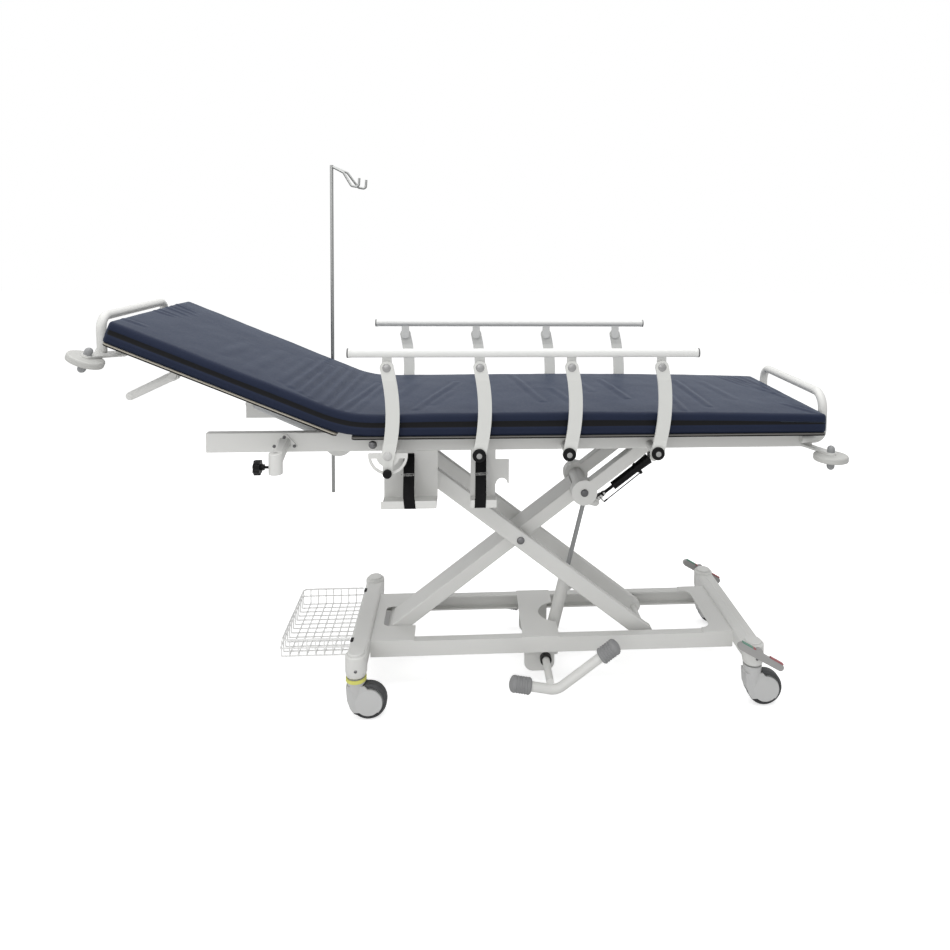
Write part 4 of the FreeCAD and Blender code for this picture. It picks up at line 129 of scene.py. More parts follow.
class FinishTree:
    """The node tree of one material, filled node by node."""

    def __init__(self, name: str) -> None:
        """Starts an empty material.

        Args:
            name: The material's name.
        """
        self.material = bpy.data.materials.new(name)
        self.material.use_nodes = True
        self.nodes = self.material.node_tree.nodes
        self.links = self.material.node_tree.links
        self.nodes.clear()

    def node(
        self,
        kind: str,
        settings: dict[str, object] | None = None,
        values: dict[int | str, object] | None = None,
        output: int | str = 0,
    ) -> Wire:
        """Adds one node.

        Args:
            kind: The node's type.
            settings: Its properties, set first.
            values: A value or a Wire for each named or numbered input.
            output: Which output to return.

        Returns:
            The chosen output as a Wire.
        """
        made = self.nodes.new(kind)
        for name, value in (settings or {}).items():
            setattr(made, name, value)
        for key, value in (values or {}).items():
            if isinstance(value, Wire):
                self.links.new(value.socket, made.inputs[key])
            else:
                made.inputs[key].default_value = value
        return Wire(self, made.outputs[output])

    def place(self) -> Wire:
        """Object coordinates of the surface point."""
        return self.node("ShaderNodeTexCoord", output="Object")

    def axis(self, vector: Wire, index: int) -> Wire:
        """One component of a vector."""
        return self.node("ShaderNodeSeparateXYZ", {}, {0: vector}, index)

    def noise(self, vector: Wire, scale: float, detail: float = 3.0) -> Wire:
        """Noise between zero and one at a scale per metre."""
        values = {"Vector": vector, "Scale": scale, "Detail": detail, "Roughness": 0.55}
        return self.node("ShaderNodeTexNoise", {}, values, 0)

    def stretched(self, vector: Wire, factors: Point) -> Wire:
        """The vector with each component scaled."""
        return self.node("ShaderNodeMapping", {}, {"Vector": vector, "Scale": factors})

    def mix(self, factor: Wire | float, first: Wire | Colour, second: Wire | Colour) -> Wire:
        """Colour between first at 0 and second at 1."""
        ends = [end if isinstance(end, Wire) else (*end, 1.0) for end in (first, second)]
        return self.node("ShaderNodeMix", {"data_type": "RGBA"}, {0: factor, 6: ends[0], 7: ends[1]}, 2)

    def blend(self, factor: Wire | float, first: Wire | float, second: Wire | float) -> Wire:
        """Number between first at 0 and second at 1."""
        return self.node("ShaderNodeMix", {"data_type": "FLOAT"}, {0: factor, 2: first, 3: second}, 0)

    def step(self, value: Wire, low: float, high: float) -> Wire:
        """Smooth step from 0 at low to 1 at high."""
        settings = {"interpolation_type": "SMOOTHSTEP"}
        return self.node("ShaderNodeMapRange", settings, {0: value, 1: low, 2: high, 3: 0.0, 4: 1.0})

    def bump(self, height: Wire, distance: float) -> Wire:
        """Normal from a height."""
        return self.node("ShaderNodeBump", {}, {"Height": height, "Distance": distance, "Strength": 1.0})

    def finish(self, values: dict[str, object]) -> bpy.types.Material:
        """Closes the material with one principled shader.

        Args:
            values: The shader's inputs by name.

        Returns:
            The finished material.
        """
        full = {key: (*v, 1.0) if isinstance(v, tuple) and len(v) == 3 else v for key, v in values.items()}
        shader = self.node("ShaderNodeBsdfPrincipled", {}, full, 0)
        self.node_output(shader)
        return self.material

    def node_output(self, shader: Wire) -> None:
        """Links a shader to the material's surface."""
        out = self.nodes.new("ShaderNodeOutputMaterial")
        self.links.new(shader.socket, out.inputs["Surface"])


@dataclass(frozen=True)
class Zone:
    """A region of a part with its own colour, the same on both sides of the stretcher."""

    colour: Colour
    roughness: float = 0.45
    metallic: float = 0.0
    shape: ZoneShape = ZoneShape.BLOCK
    low: Point = (-9.0, -9.0, -9.0)
    high: Point = (9.0, 9.0, 9.0)
    centre: Point = (0.0, 0.0, 0.0)
    axis: Point = (0.0, 1.0, 0.0)
    radius: float = 1.0

    def mask(self, tree: FinishTree, place: Wire) -> Wire:
        """Marks the zone.

        Args:
            tree: The material's tree.
            place: Object coordinates with Y made positive.

        Returns:
            One inside the zone and zero outside.
        """
        if self.shape is ZoneShape.BLOCK:
            return self._block(tree, place)
        offset = tree.node("ShaderNodeVectorMath", {"operation": "SUBTRACT"}, {0: place, 1: self.centre})
        dot = {"operation": "DOT_PRODUCT"}
        along = tree.node("ShaderNodeVectorMath", dot, {0: offset, 1: self.axis}, "Value")
        total = tree.node("ShaderNodeVectorMath", {"operation": "LENGTH"}, {0: offset}, "Value")
        across = total * total - along * along
        inside = (across < self.radius * self.radius) * (along > self.low[0])
        return inside * (along < self.high[0])

    def _block(self, tree: FinishTree, place: Wire) -> Wire:
        """Marks a box between the low and high corners."""
        mask: Wire | None = None
        for index in range(3):
            value = tree.axis(place, index)
            for limit, below in ((self.low[index], False), (self.high[index], True)):
                if abs(limit) > 8.0:
                    continue
                side = value < limit if below else value > limit
                mask = side if mask is None else mask * side
        return mask


@dataclass(frozen=True)
class Paint:
    """Powder coat with a fine orange peel and a faint change of tone."""

    name: str
    colour: Colour
    roughness: float = 0.36
    peel: float = 0.00012
    tone: float = 0.05
    zones: tuple[Zone, ...] = ()
    shine: float = 0.5

    def build(self) -> bpy.types.Material:
        """Makes the material."""
        tree = FinishTree(self.name)
        place = tree.place()
        cloud = tree.noise(place, 3.5, 2.0)
        dust = tree.noise(place, 42.0, 4.0)
        dark = tuple(c * (1.0 - self.tone) for c in self.colour)
        colour = tree.mix(cloud * 0.7 + dust * 0.3, dark, self.colour)
        rough: Wire | float = dust * 0.10 + (self.roughness - 0.05)
        metal: Wire | float = 0.0
        if self.zones:
            sided = self._sided(tree, place)
            for zone in self.zones:
                mask = zone.mask(tree, sided)
                colour = tree.mix(mask, colour, zone.colour)
                rough = tree.blend(mask, rough, zone.roughness)
                metal = tree.blend(mask, metal, zone.metallic)
        peel = tree.noise(place, 620.0, 2.0)
        normal = tree.bump(peel, self.peel)
        values = {
            "Base Color": colour, "Roughness": rough, "Metallic": metal, "Normal": normal,
            "Specular IOR Level": self.shine,
        }
        return tree.finish(values)

    @staticmethod
    def _sided(tree: FinishTree, place: Wire) -> Wire:
        """Object coordinates with Y made positive."""
        parts = {0: tree.axis(place, 0), 1: tree.axis(place, 1).size(), 2: tree.axis(place, 2)}
        return tree.node("ShaderNodeCombineXYZ", {}, parts)


@dataclass(frozen=True)
class Plastic:
    """Moulded plastic with a fine spark-eroded grain."""

    name: str
    colour: Colour
    roughness: float = 0.5
    grain: float = 0.00015
    zones: tuple[Zone, ...] = ()
    shine: float = 0.5

    def build(self) -> bpy.types.Material:
        """Makes the material."""
        return Paint(self.name, self.colour, self.roughness, self.grain, 0.08, self.zones, self.shine).build()


@dataclass(frozen=True)
class Metal:
    """Bare or plated metal with fine streaks along one direction."""

    name: str
    colour: Colour
    roughness: float = 0.28
    stretch: Point = (1.0, 1.0, 1.0)
    streaks: float = 0.12

    def build(self) -> bpy.types.Material:
        """Makes the material."""
        tree = FinishTree(self.name)
        place = tree.place()
        lines = tree.noise(tree.stretched(place, self.stretch), 260.0, 4.0)
        smear = tree.noise(place, 18.0, 3.0)
        dark = tuple(c * 0.82 for c in self.colour)
        colour = tree.mix(lines * 0.6 + smear * 0.4, dark, self.colour)
        rough = lines * self.streaks + smear * 0.08 + (self.roughness - 0.1)
        normal = tree.bump(lines, 0.00006)
        return tree.finish({"Base Color": colour, "Roughness": rough, "Metallic": 1.0, "Normal": normal})


@dataclass(frozen=True)
class Tyre:
    """Wheel finish: pale core inside, dark tread outside."""

    name: str
    centre: Point
    core_radius: float = 0.0405
    core: Colour = (0.44, 0.45, 0.45)
    tread: Colour = (0.035, 0.036, 0.038)

    def build(self) -> bpy.types.Material:
        """Makes the material."""
        tree = FinishTree(self.name)
        place = tree.place()
        sided = Paint._sided(tree, place)
        outer = Zone(
            self.tread, shape=ZoneShape.PIN, centre=self.centre, low=(-1.0, 0.0, 0.0), high=(1.0, 0.0, 0.0),
            radius=self.core_radius,
        )
        core = outer.mask(tree, sided)
        scuff = tree.noise(place, 90.0, 5.0)
        worn = tuple(c * 2.4 for c in self.tread)
        rubber = tree.mix(scuff ** 2.0, self.tread, worn)
        colour = tree.mix(core, rubber, self.core)
        rough = tree.blend(core, scuff * 0.2 + 0.5, 0.42)
        normal = tree.bump(scuff, 0.0002)
        return tree.finish({"Base Color": colour, "Roughness": rough, "Normal": normal})


@dataclass(frozen=True)
class CoatedCloth:
    """Coated mattress cover: a soft sheen, a fine leather-like grain and a zip band on the sides."""

    name: str
    colour: Colour = (0.0070, 0.0120, 0.0300)
    worn: Colour = (0.0118, 0.0180, 0.0430)
    band: Colour = (0.004, 0.004, 0.005)
    band_low: float = 0.42
    band_high: float = 0.65

    def build(self) -> bpy.types.Material:
        """Makes the material."""
        tree = FinishTree(self.name)
        surface = tree.node("ShaderNodeUVMap", {"uv_map": "cover"})
        height = tree.node("ShaderNodeAttribute", {"attribute_name": "side_height"}, output="Fac")
        cloud = tree.noise(surface, 7.0, 3.0)
        pores = tree.noise(surface, 1400.0, 2.0)
        creases = tree.noise(tree.stretched(surface, (1.0, 0.45, 1.0)), 120.0, 4.0)
        colour = tree.mix(cloud * 0.6 + creases * 0.4, self.colour, self.worn)
        edge = 0.012
        band = tree.step(height, self.band_low, self.band_low + edge)
        band = band * (1.0 - tree.step(height, self.band_high - edge, self.band_high))
        colour = tree.mix(band, colour, self.band)
        teeth = (tree.axis(surface, 0) * 1900.0).sine() * band
        rough = tree.blend(band, creases * 0.12 + 0.44, 0.55)
        grain = pores * 0.00006 + creases * 0.00022 + teeth * 0.00010
        normal = tree.bump(grain, 1.0)
        values = {
            "Base Color": colour, "Roughness": rough, "Normal": normal, "Specular IOR Level": 0.16,
            "Sheen Weight": 0.16, "Sheen Roughness": 0.35, "Sheen Tint": (0.58, 0.76, 1.0, 1.0),
        }
        return tree.finish(values)


@dataclass(frozen=True)
class Webbing:
    """Woven strap with ribs across and a herringbone of threads."""

    name: str
    colour: Colour = (0.0035, 0.0035, 0.0038)

    def build(self) -> bpy.types.Material:
        """Makes the material."""
        tree = FinishTree(self.name)
        surface = tree.node("ShaderNodeUVMap", {"uv_map": "cover"})
        run = (tree.axis(surface, 0) * 2600.0).sine()
        across = (tree.axis(surface, 1) * 3600.0).sine()
        weave = run * across * 0.5 + 0.5
        fuzz = tree.noise(surface, 900.0, 3.0)
        pale = tuple(c * 3.0 for c in self.colour)
        colour = tree.mix(weave * 0.6 + fuzz * 0.4, self.colour, pale)
        normal = tree.bump(weave + fuzz * 0.4, 0.0002)
        values = {"Base Color": colour, "Roughness": 0.8, "Normal": normal, "Specular IOR Level": BLACK_SHINE}
        return tree.finish(values)


GREY_CAP = (0.26, 0.265, 0.27)
DARK_BOLT = (0.12, 0.12, 0.125)
BLACK = (0.007, 0.007, 0.0075)
BLACK_SHINE = 0.12
# Painted highlight: the pale beige given to the backrest board's upper edge and top face
BACK_BOARD_EDGE_HIGHLIGHT = (0.42, 0.39, 0.33)
# Painted highlight: the lighter grey given to the seat board's upper edge and top face
SEAT_BOARD_EDGE_HIGHLIGHT = (0.16, 0.155, 0.145)
OFF_WHITE = (0.70, 0.70, 0.68)
BOLT_GREY = (0.33, 0.33, 0.325)
PLUG_GREY = (0.10, 0.10, 0.10)
HOOD_GREY = (0.56, 0.562, 0.558)
ALONG_Y = (0.0, 1.0, 0.0)
UPRIGHT = (0.0, 0.0, 1.0)
TILT = math.radians(22.5)
BACK_NORMAL = (math.sin(TILT), 0.0, math.cos(TILT))
HINGE = (-0.338, 0.0, 0.799)
FOOT_BUMPER = (0.987, 0.285, 0.735)
HEAD_BUMPER = (-0.98878, 0.285, 1.01098)
BUMPER_CAP_RADIUS = 0.0115
WHEEL_X = {"head": -0.283, "foot": 0.841}
WHEEL_Y = 0.228
AXLE_HEIGHT = 0.05
HOOD_DISC_RADIUS = 0.0355
HOOD_RIM_TOP = 0.024
SIDE_SKIN = 0.002
POST_FIRST_X = -0.225
POST_SPACING = 0.241
POST_PIVOT_Z = 0.755
PIVOT_BOLT_RADIUS = 0.0074


@dataclass
class Wardrobe:
    """All finishes of the rigid parts, built once and put on the frame's nodes."""

    paint: Colour = OFF_WHITE
    made: dict[str, bpy.types.Material] = field(default_factory=dict)

    def get(self, finish: Paint | Plastic | Metal | Tyre | CoatedCloth | Webbing) -> bpy.types.Material:
        """Builds a finish the first time it is asked for."""
        if finish.name not in self.made:
            self.made[finish.name] = finish.build()
        return self.made[finish.name]

    def put(self, nodes: dict[str, bpy.types.Object], finish: object, *names: str) -> None:
        """Gives the named nodes one finish.

        Args:
            nodes: The frame's nodes by name.
            finish: The finish to build.
            names: Node names.
        """
        material = self.get(finish)
        for name in names:
            slots = nodes[name].data.materials
            slots.clear()
            slots.append(material)
            for polygon in nodes[name].data.polygons:
                polygon.material_index = 0

    def dress(self, nodes: dict[str, bpy.types.Object]) -> None:
        """Dresses every node of the frame."""
        plain = Paint("off_white_coat", self.paint)
        self.put(
            nodes, plain, "base_rails", "head_cross_member", "foot_cross_member", "base_cover_plates",
            "pump_pedal", "release_bar", "bottle_holders", "ram_cylinder",
        )
        self.put(nodes, Paint("wire_white", (0.88, 0.88, 0.87), 0.3), "wire_basket")
        bush = Zone(
            BLACK, 0.5, shape=ZoneShape.PIN, centre=(0.221, 0.0, 0.086), low=(0.1125, 0, 0),
            high=(0.2, 0, 0), radius=0.0175,
        )
        self.put(nodes, Paint("pump_coat", self.paint, zones=(bush,)), "pump_housing")
        pin = Zone(DARK_BOLT, 0.35, 0.6, ZoneShape.BLOCK, low=(-9, 0.1045, -9))
        self.put(nodes, Paint("inner_arm_coat", self.paint, zones=(pin,)), "inner_arm")
        roller = Zone(GREY_CAP, 0.4, 0.0, ZoneShape.BLOCK, low=(-9, 0.1065, -9))
        self.put(nodes, Paint("roller_arm_coat", self.paint, zones=(roller,)), "outer_arms", "upper_arms")
        self.put(nodes, Paint("deck_coat", self.paint, zones=self._deck_zones()), "deck_frame")
        self.put(nodes, Paint("back_coat", self.paint, zones=self._back_zones()), "backrest_frame")
        self.put(nodes, Paint("socket_coat", self.paint, zones=self._socket_zones()), "iv_sockets")
        self._dress_rails(nodes)
        self._dress_small(nodes)
        self._dress_casters(nodes)

    def _deck_zones(self) -> tuple[Zone, ...]:
        """Grey caps of the foot bumpers."""
        return self._cap_zones(FOOT_BUMPER, UPRIGHT)

    def _back_zones(self) -> tuple[Zone, ...]:
        """Grey caps of the head bumpers."""
        return self._cap_zones(HEAD_BUMPER, BACK_NORMAL)

    @staticmethod
    def _cap_zones(centre: Point, axis: Point) -> tuple[Zone, ...]:
        """The upper and the lower grey cap of a bumper's pin."""
        spans = (((0.0149, 0, 0), (0.05, 0, 0)), ((-0.05, 0, 0), (-0.0085, 0, 0)))
        return tuple(
            Zone(GREY_CAP, 0.4, 0.0, ZoneShape.PIN, low, high, centre, axis, BUMPER_CAP_RADIUS)
            for low, high in spans
        )

    def _socket_zones(self) -> tuple[Zone, ...]:
        """Small screws of the socket flanges."""
        zones = []
        for x in (-0.5115, -0.4675):
            for dx, dz in ((0.0, 0.014), (-0.027, -0.011), (0.027, -0.011)):
                spot = (x + dx, 0.0, 0.771 + dz)
                low, high = (0.2085, 0, 0), (0.2135, 0, 0)
                zones.append(Zone(DARK_BOLT, 0.4, 0.3, ZoneShape.PIN, low, high, spot, ALONG_Y, 0.0046))
        return tuple(zones)

    def _dress_rails(self, nodes: dict[str, bpy.types.Object]) -> None:
        """Bars with dark plugs and grey bolts, posts and lower discs."""
        head_plug = Zone(PLUG_GREY, 0.5, 0.0, ZoneShape.BLOCK, high=(-0.3222, 9, 9))
        foot_plug = Zone(PLUG_GREY, 0.5, 0.0, ZoneShape.BLOCK, low=(0.5932, -9, -9))
        bolt = Zone((0.34, 0.34, 0.34), 0.35, 0.5, ZoneShape.BLOCK, low=(-9, 0.3206, -9), high=(9, 9, 1.008))
        bar = Paint("rail_coat", (0.74, 0.745, 0.73), 0.3, zones=(head_plug, foot_plug, bolt))
        self.put(nodes, bar, "rail_bar_near", "rail_bar_far")
        posts = [name for name in nodes if name.startswith("rail_post")]
        self.put(nodes, Paint("post_coat", (0.70, 0.705, 0.68), 0.34), *posts)
        zones = []
        for index in range(4):
            spot = (POST_FIRST_X + POST_SPACING * index, 0.0, POST_PIVOT_Z)
            low, high = (0, 0, 0), (1, 0, 0)
            zones.append(
                Zone(BOLT_GREY, 0.35, 0.2, ZoneShape.PIN, low, high, spot, ALONG_Y, PIVOT_BOLT_RADIUS)
            )
        first = Zone((0.55, 0.55, 0.54), 0.35, 0.0, ZoneShape.BLOCK, high=(-0.15, 9, 9))
        disc = Plastic("pivot_rubber", BLACK, 0.42, zones=(*zones, first), shine=BLACK_SHINE)
        self.put(nodes, disc, "pivot_discs")
        plunger = Plastic("plunger_black", BLACK, 0.4, shine=BLACK_SHINE)
        self.put(nodes, plunger, "rail_plunger_near", "rail_plunger_far")

    def _dress_small(self, nodes: dict[str, bpy.types.Object]) -> None:
        """Springs, shafts, pads, boards and the pole."""
        bolts = Metal("dark_bolt", (0.20, 0.20, 0.205), 0.38)
        self.put(nodes, bolts, "crossing_shaft", "deck_pivot_shaft")
        self.put(nodes, Paint("ram_steel", (0.31, 0.315, 0.32), 0.42), "ram_rod")
        spring = Plastic("spring_black", BLACK, 0.33, shine=BLACK_SHINE)
        self.put(nodes, spring, "tilt_spring_body", "tilt_spring_rod")
        self.put(nodes, Metal("spring_rod", (0.45, 0.45, 0.44), 0.3), "back_strut_rod")
        self.put(nodes, Paint("strut_silver", (0.52, 0.53, 0.54), 0.3), "back_strut_body")
        self.put(nodes, Plastic("pedal_rubber", (0.26, 0.262, 0.265), 0.6, 0.0004), "pump_pedal_pads")
        self.put(nodes, Metal("pole_steel", (0.34, 0.345, 0.34), 0.34, (1.0, 1.0, 0.02)), "iv_pole")
        knob = Plastic("knob_black", BLACK, 0.36, shine=BLACK_SHINE)
        self.put(nodes, knob, "iv_knob_near", "iv_knob_far")
        self.put(nodes, Plastic("ring_yellow", (0.72, 0.71, 0.17), 0.5), "caster_ring")
        # Painted highlight: the seat board above the hinge height is painted lighter than its black
        flat = Zone(SEAT_BOARD_EDGE_HIGHLIGHT, 0.5, low=(-9.0, -9.0, HINGE[2] + 0.0006))
        seat = Plastic("seat_board_black", BLACK, 0.45, zones=(flat,), shine=BLACK_SHINE)
        self.put(nodes, seat, "seat_board")
        low, high = (0.0006, 0, 0), (1, 0, 0)
        # Painted highlight: the backrest board above the plane through the hinge is painted lighter than its
        # black
        back_top_highlight = Zone(BACK_BOARD_EDGE_HIGHLIGHT, 0.5, 0.0, ZoneShape.PIN, low, high, HINGE, BACK_NORMAL, 2.0)
        board = Plastic("back_board_black", BLACK, 0.45, zones=(back_top_highlight,), shine=BLACK_SHINE)
        self.put(nodes, board, "backrest_board")
        green = Zone((0.10, 0.26, 0.19), 0.45, 0.0, ZoneShape.BLOCK, high=(0.79, 9, 9))
        pads = Plastic("brake_pads_red", (0.36, 0.10, 0.11), 0.45, zones=(green,))
        self.put(nodes, pads, "brake_pads")
        shaft = Zone(self.paint, 0.36, 0.0, ZoneShape.BLOCK, high=(9, 0.20, 9))
        self.put(nodes, Plastic("lever_grey", (0.36, 0.355, 0.35), 0.42, zones=(shaft,)), "brake_levers")

    def _dress_casters(self, nodes: dict[str, bpy.types.Object]) -> None:
        """Hoods, wheels and bumpers."""
        forks = [name for name in nodes if name.startswith("caster_fork")]
        rim = Zone(BLACK, 0.5, 0.0, ZoneShape.BLOCK, high=(9, 9, HOOD_RIM_TOP))
        low, high = (0, 0, 0), (1, 0, 0)
        discs = [
            Zone(
                HOOD_GREY, 0.38, 0.0, ZoneShape.PIN, low, high, (x, 0.0, AXLE_HEIGHT), ALONG_Y,
                HOOD_DISC_RADIUS,
            )
            for x in WHEEL_X.values()
        ]
        self.put(nodes, Plastic("hood_grey", HOOD_GREY, 0.38, 0.00008, (rim, *discs)), *forks)
        for end, x in WHEEL_X.items():
            finish = Tyre("wheel_" + end, (x, WHEEL_Y, AXLE_HEIGHT))
            self.put(nodes, finish, f"caster_wheel_{end}_near", f"caster_wheel_{end}_far")
        bumpers = [name for name in nodes if name.startswith("bumper_")]
        self.put(nodes, Plastic("bumper_grey", (0.50, 0.50, 0.48), 0.5, 0.0002), *bumpers)


class Workbench:
    """Turns a mesh under construction into a finished piece."""

    @staticmethod
    def piece(
        mesh: bmesh.types.BMesh, name: str, material: bpy.types.Material, smooth: bool = True
    ) -> bpy.types.Object:
        """Makes an object at the origin.

        Args:
            mesh: The mesh, which is freed.
            name: The object's name.
            material: Its finish.
            smooth: Whether faces are shaded smooth.

        Returns:
            The new object.
        """
        bmesh.ops.recalc_face_normals(mesh, faces=mesh.faces)
        data = bpy.data.meshes.new(name)
        mesh.to_mesh(data)
        mesh.free()
        data.materials.append(material)
        for polygon in data.polygons:
            polygon.use_smooth = smooth
        made = bpy.data.objects.new(name, data)
        bpy.context.scene.collection.objects.link(made)
        LOG.info("piece %s: %d faces", name, len(data.polygons))
        return made

    @staticmethod
    def bevel(mesh: bmesh.types.BMesh, edges: list[bmesh.types.BMEdge], offset: float, segments: int) -> None:
        """Rounds edges."""
        bmesh.ops.bevel(
            mesh, geom=edges, offset=offset, offset_type="OFFSET", segments=segments, profile=0.5,
            affect="EDGES", material=-1, clamp_overlap=True,
        )

    @staticmethod
    def tube(
        mesh: bmesh.types.BMesh, start: Vector, end: Vector, radii: tuple[float, float], sides: int = 24
    ) -> None:
        """Adds a closed round bar between two points, with a radius at each end."""
        axis = end - start
        turn = axis.to_track_quat("Z", "Y").to_matrix().to_4x4()
        matrix = Matrix.Translation((start + end) / 2) @ turn
        bmesh.ops.create_cone(
            mesh, cap_ends=True, cap_tris=False, segments=sides, radius1=radii[0], radius2=radii[1],
            depth=axis.length, matrix=matrix,
        )


@dataclass(frozen=True)
class Crease:
    """One raised fold of the cover, from (s, y) to (s, y), measured from the hinge along the mattress."""

    start: tuple[float, float]
    end: tuple[float, float]
    height: float
    width: float

    def lift(self, s: float, y: float) -> float:
        """Height that the crease adds at a point of the top."""
        ds, dy = self.end[0] - self.start[0], self.end[1] - self.start[1]
        span = ds * ds + dy * dy
        t = ((s - self.start[0]) * ds + (y - self.start[1]) * dy) / span
        held = min(1.0, max(0.0, t))
        away = math.hypot(s - self.start[0] - held * ds, y - self.start[1] - held * dy)
        if away > 3.2 * self.width:
            return 0.0
        fade = math.sin(math.pi * min(1.0, max(0.0, 0.12 + 0.76 * t))) ** 0.7
        ridge = math.exp(-((away / self.width) ** 2))
        valley = math.exp(-(((away - 1.7 * self.width) / (0.8 * self.width)) ** 2))
        return self.height * fade * (ridge - 0.45 * valley)


@dataclass
class Mattress:
    """One soft mattress that folds over the backrest hinge."""

    half_width: float = 0.283
    thickness: float = 0.0585
    head_length: float = 0.664
    foot_length: float = 1.314
    lift_off: float = 0.0033
    long_crown: float = 0.0040
    foot_wear: float = 0.0075
    fold_reach: float = 0.105
    edge_radius: float = 0.0075
    crown: float = 0.0035
    pull_in: float = 0.0035
    fold_creases: tuple[tuple[float, float, float, float, float, float], ...] = (
        (-0.184, -0.232, -0.168, 0.183, 0.0034, 0.010),
        (-0.151, -0.243, -0.144, 0.155, 0.0036, 0.009),
        (-0.125, -0.255, -0.112, 0.191, 0.0034, 0.009),
        (-0.089, -0.267, -0.075, 0.266, 0.0042, 0.010),
        (-0.060, -0.267, -0.030, 0.260, 0.0036, 0.009),
        (-0.030, -0.272, 0.037, 0.110, 0.0032, 0.009),
        (-0.215, -0.215, -0.205, 0.125, 0.0018, 0.012),
        (0.010, -0.266, 0.070, 0.136, 0.0020, 0.011),
        (0.182, -0.228, 0.287, 0.127, 0.0034, 0.009),
        (0.226, -0.173, 0.275, -0.011, 0.0016, 0.010),
        (0.120, -0.091, 0.170, 0.170, 0.0014, 0.014),
        (-0.672, 0.171, -0.592, 0.148, 0.0024, 0.007),
        (-0.670, 0.125, -0.580, 0.113, 0.0020, 0.007),
        (-0.670, 0.088, -0.589, 0.072, 0.0024, 0.007),
        (-0.668, 0.034, -0.596, 0.029, 0.0016, 0.008),
        (-0.666, -0.005, -0.604, 0.002, 0.0018, 0.008),
        (-0.663, -0.211, -0.600, -0.204, 0.0020, 0.009),
        (-0.390, -0.173, -0.378, 0.029, 0.0014, 0.016),
        (-0.300, -0.226, -0.285, 0.091, 0.0014, 0.016),
        (0.471, 0.250, 0.536, -0.152, 0.0032, 0.009),
        (0.583, 0.020, 0.626, -0.195, 0.0018, 0.010),
        (0.758, 0.163, 0.789, -0.118, 0.0034, 0.009),
        (0.660, 0.226, 0.700, -0.023, 0.0016, 0.012),
        (0.926, -0.035, 0.919, -0.255, 0.0030, 0.009),
        (1.005, 0.157, 1.004, -0.207, 0.0036, 0.009),
        (1.090, 0.136, 1.110, -0.113, 0.0016, 0.012),
        (1.179, 0.267, 1.224, 0.068, 0.0022, 0.008),
        (1.198, 0.267, 1.255, 0.025, 0.0026, 0.008),
        (1.234, 0.267, 1.269, -0.008, 0.0026, 0.008),
        (1.272, 0.260, 1.283, -0.068, 0.0024, 0.008),
        (1.238, -0.165, 1.295, -0.267, 0.0026, 0.009),
    )

    def build(self, material: bpy.types.Material) -> bpy.types.Object:
        """Makes the mattress in place over the deck and the backrest.

        Args:
            material: The cover's finish.

        Returns:
            The mattress.
        """
        mesh = self._block()
        creases = [Crease((a, b), (c, d), h, w) for a, b, c, d, h, w in self.fold_creases]
        uv = mesh.loops.layers.uv.new("cover")
        side = mesh.verts.layers.float.new("side_height")
        flat: dict[int, tuple[float, float]] = {}
        mesh.verts.ensure_lookup_table()
        mesh.verts.index_update()
        for vert in mesh.verts:
            s, y, z = vert.co
            share = z / self.thickness
            on_side = abs(y) > self.half_width - SIDE_SKIN
            on_side = on_side or s > self.foot_length - SIDE_SKIN or s < -self.head_length + SIDE_SKIN
            vert[side] = share if on_side else (2.0 if share > 0.5 else -2.0)
            flat[vert.index] = (s, y + math.copysign(z, y) if on_side else y)
            vert.co = self._shape(s, y, z, creases)
        for face in mesh.faces:
            for loop in face.loops:
                loop[uv].uv = flat[loop.vert.index]
        piece = Workbench.piece(mesh, "mattress_cover", material)
        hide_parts("seat_mattress", "back_mattress")
        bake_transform(piece)
        return piece

    def _block(self) -> bmesh.types.BMesh:
        """A flat rounded block, finely divided, with s along X from the hinge."""
        mesh = bmesh.new()
        length = self.head_length + self.foot_length
        middle = (self.foot_length - self.head_length) / 2
        matrix = Matrix.Translation((middle, 0.0, self.thickness / 2)) @ Matrix.Diagonal(
            (length, 2 * self.half_width, self.thickness, 1.0)
        )
        bmesh.ops.create_cube(mesh, size=1.0, matrix=matrix)
        upright = [e for e in mesh.edges if abs(e.verts[0].co.z - e.verts[1].co.z) > 0.01]
        Workbench.bevel(mesh, upright, 0.012, 4)
        rims = [e for e in mesh.edges if abs(e.verts[0].co.z - e.verts[1].co.z) < 1e-5]
        Workbench.bevel(mesh, rims, self.edge_radius, 3)
        for axis, cuts, limit in ((2, 11, 0.02), (0, 330, 1.0), (1, 84, 0.2)):
            edges = [e for e in mesh.edges if abs(e.verts[0].co[axis] - e.verts[1].co[axis]) > limit]
            bmesh.ops.subdivide_edges(mesh, edges=edges, cuts=cuts, use_grid_fill=True)
        return mesh

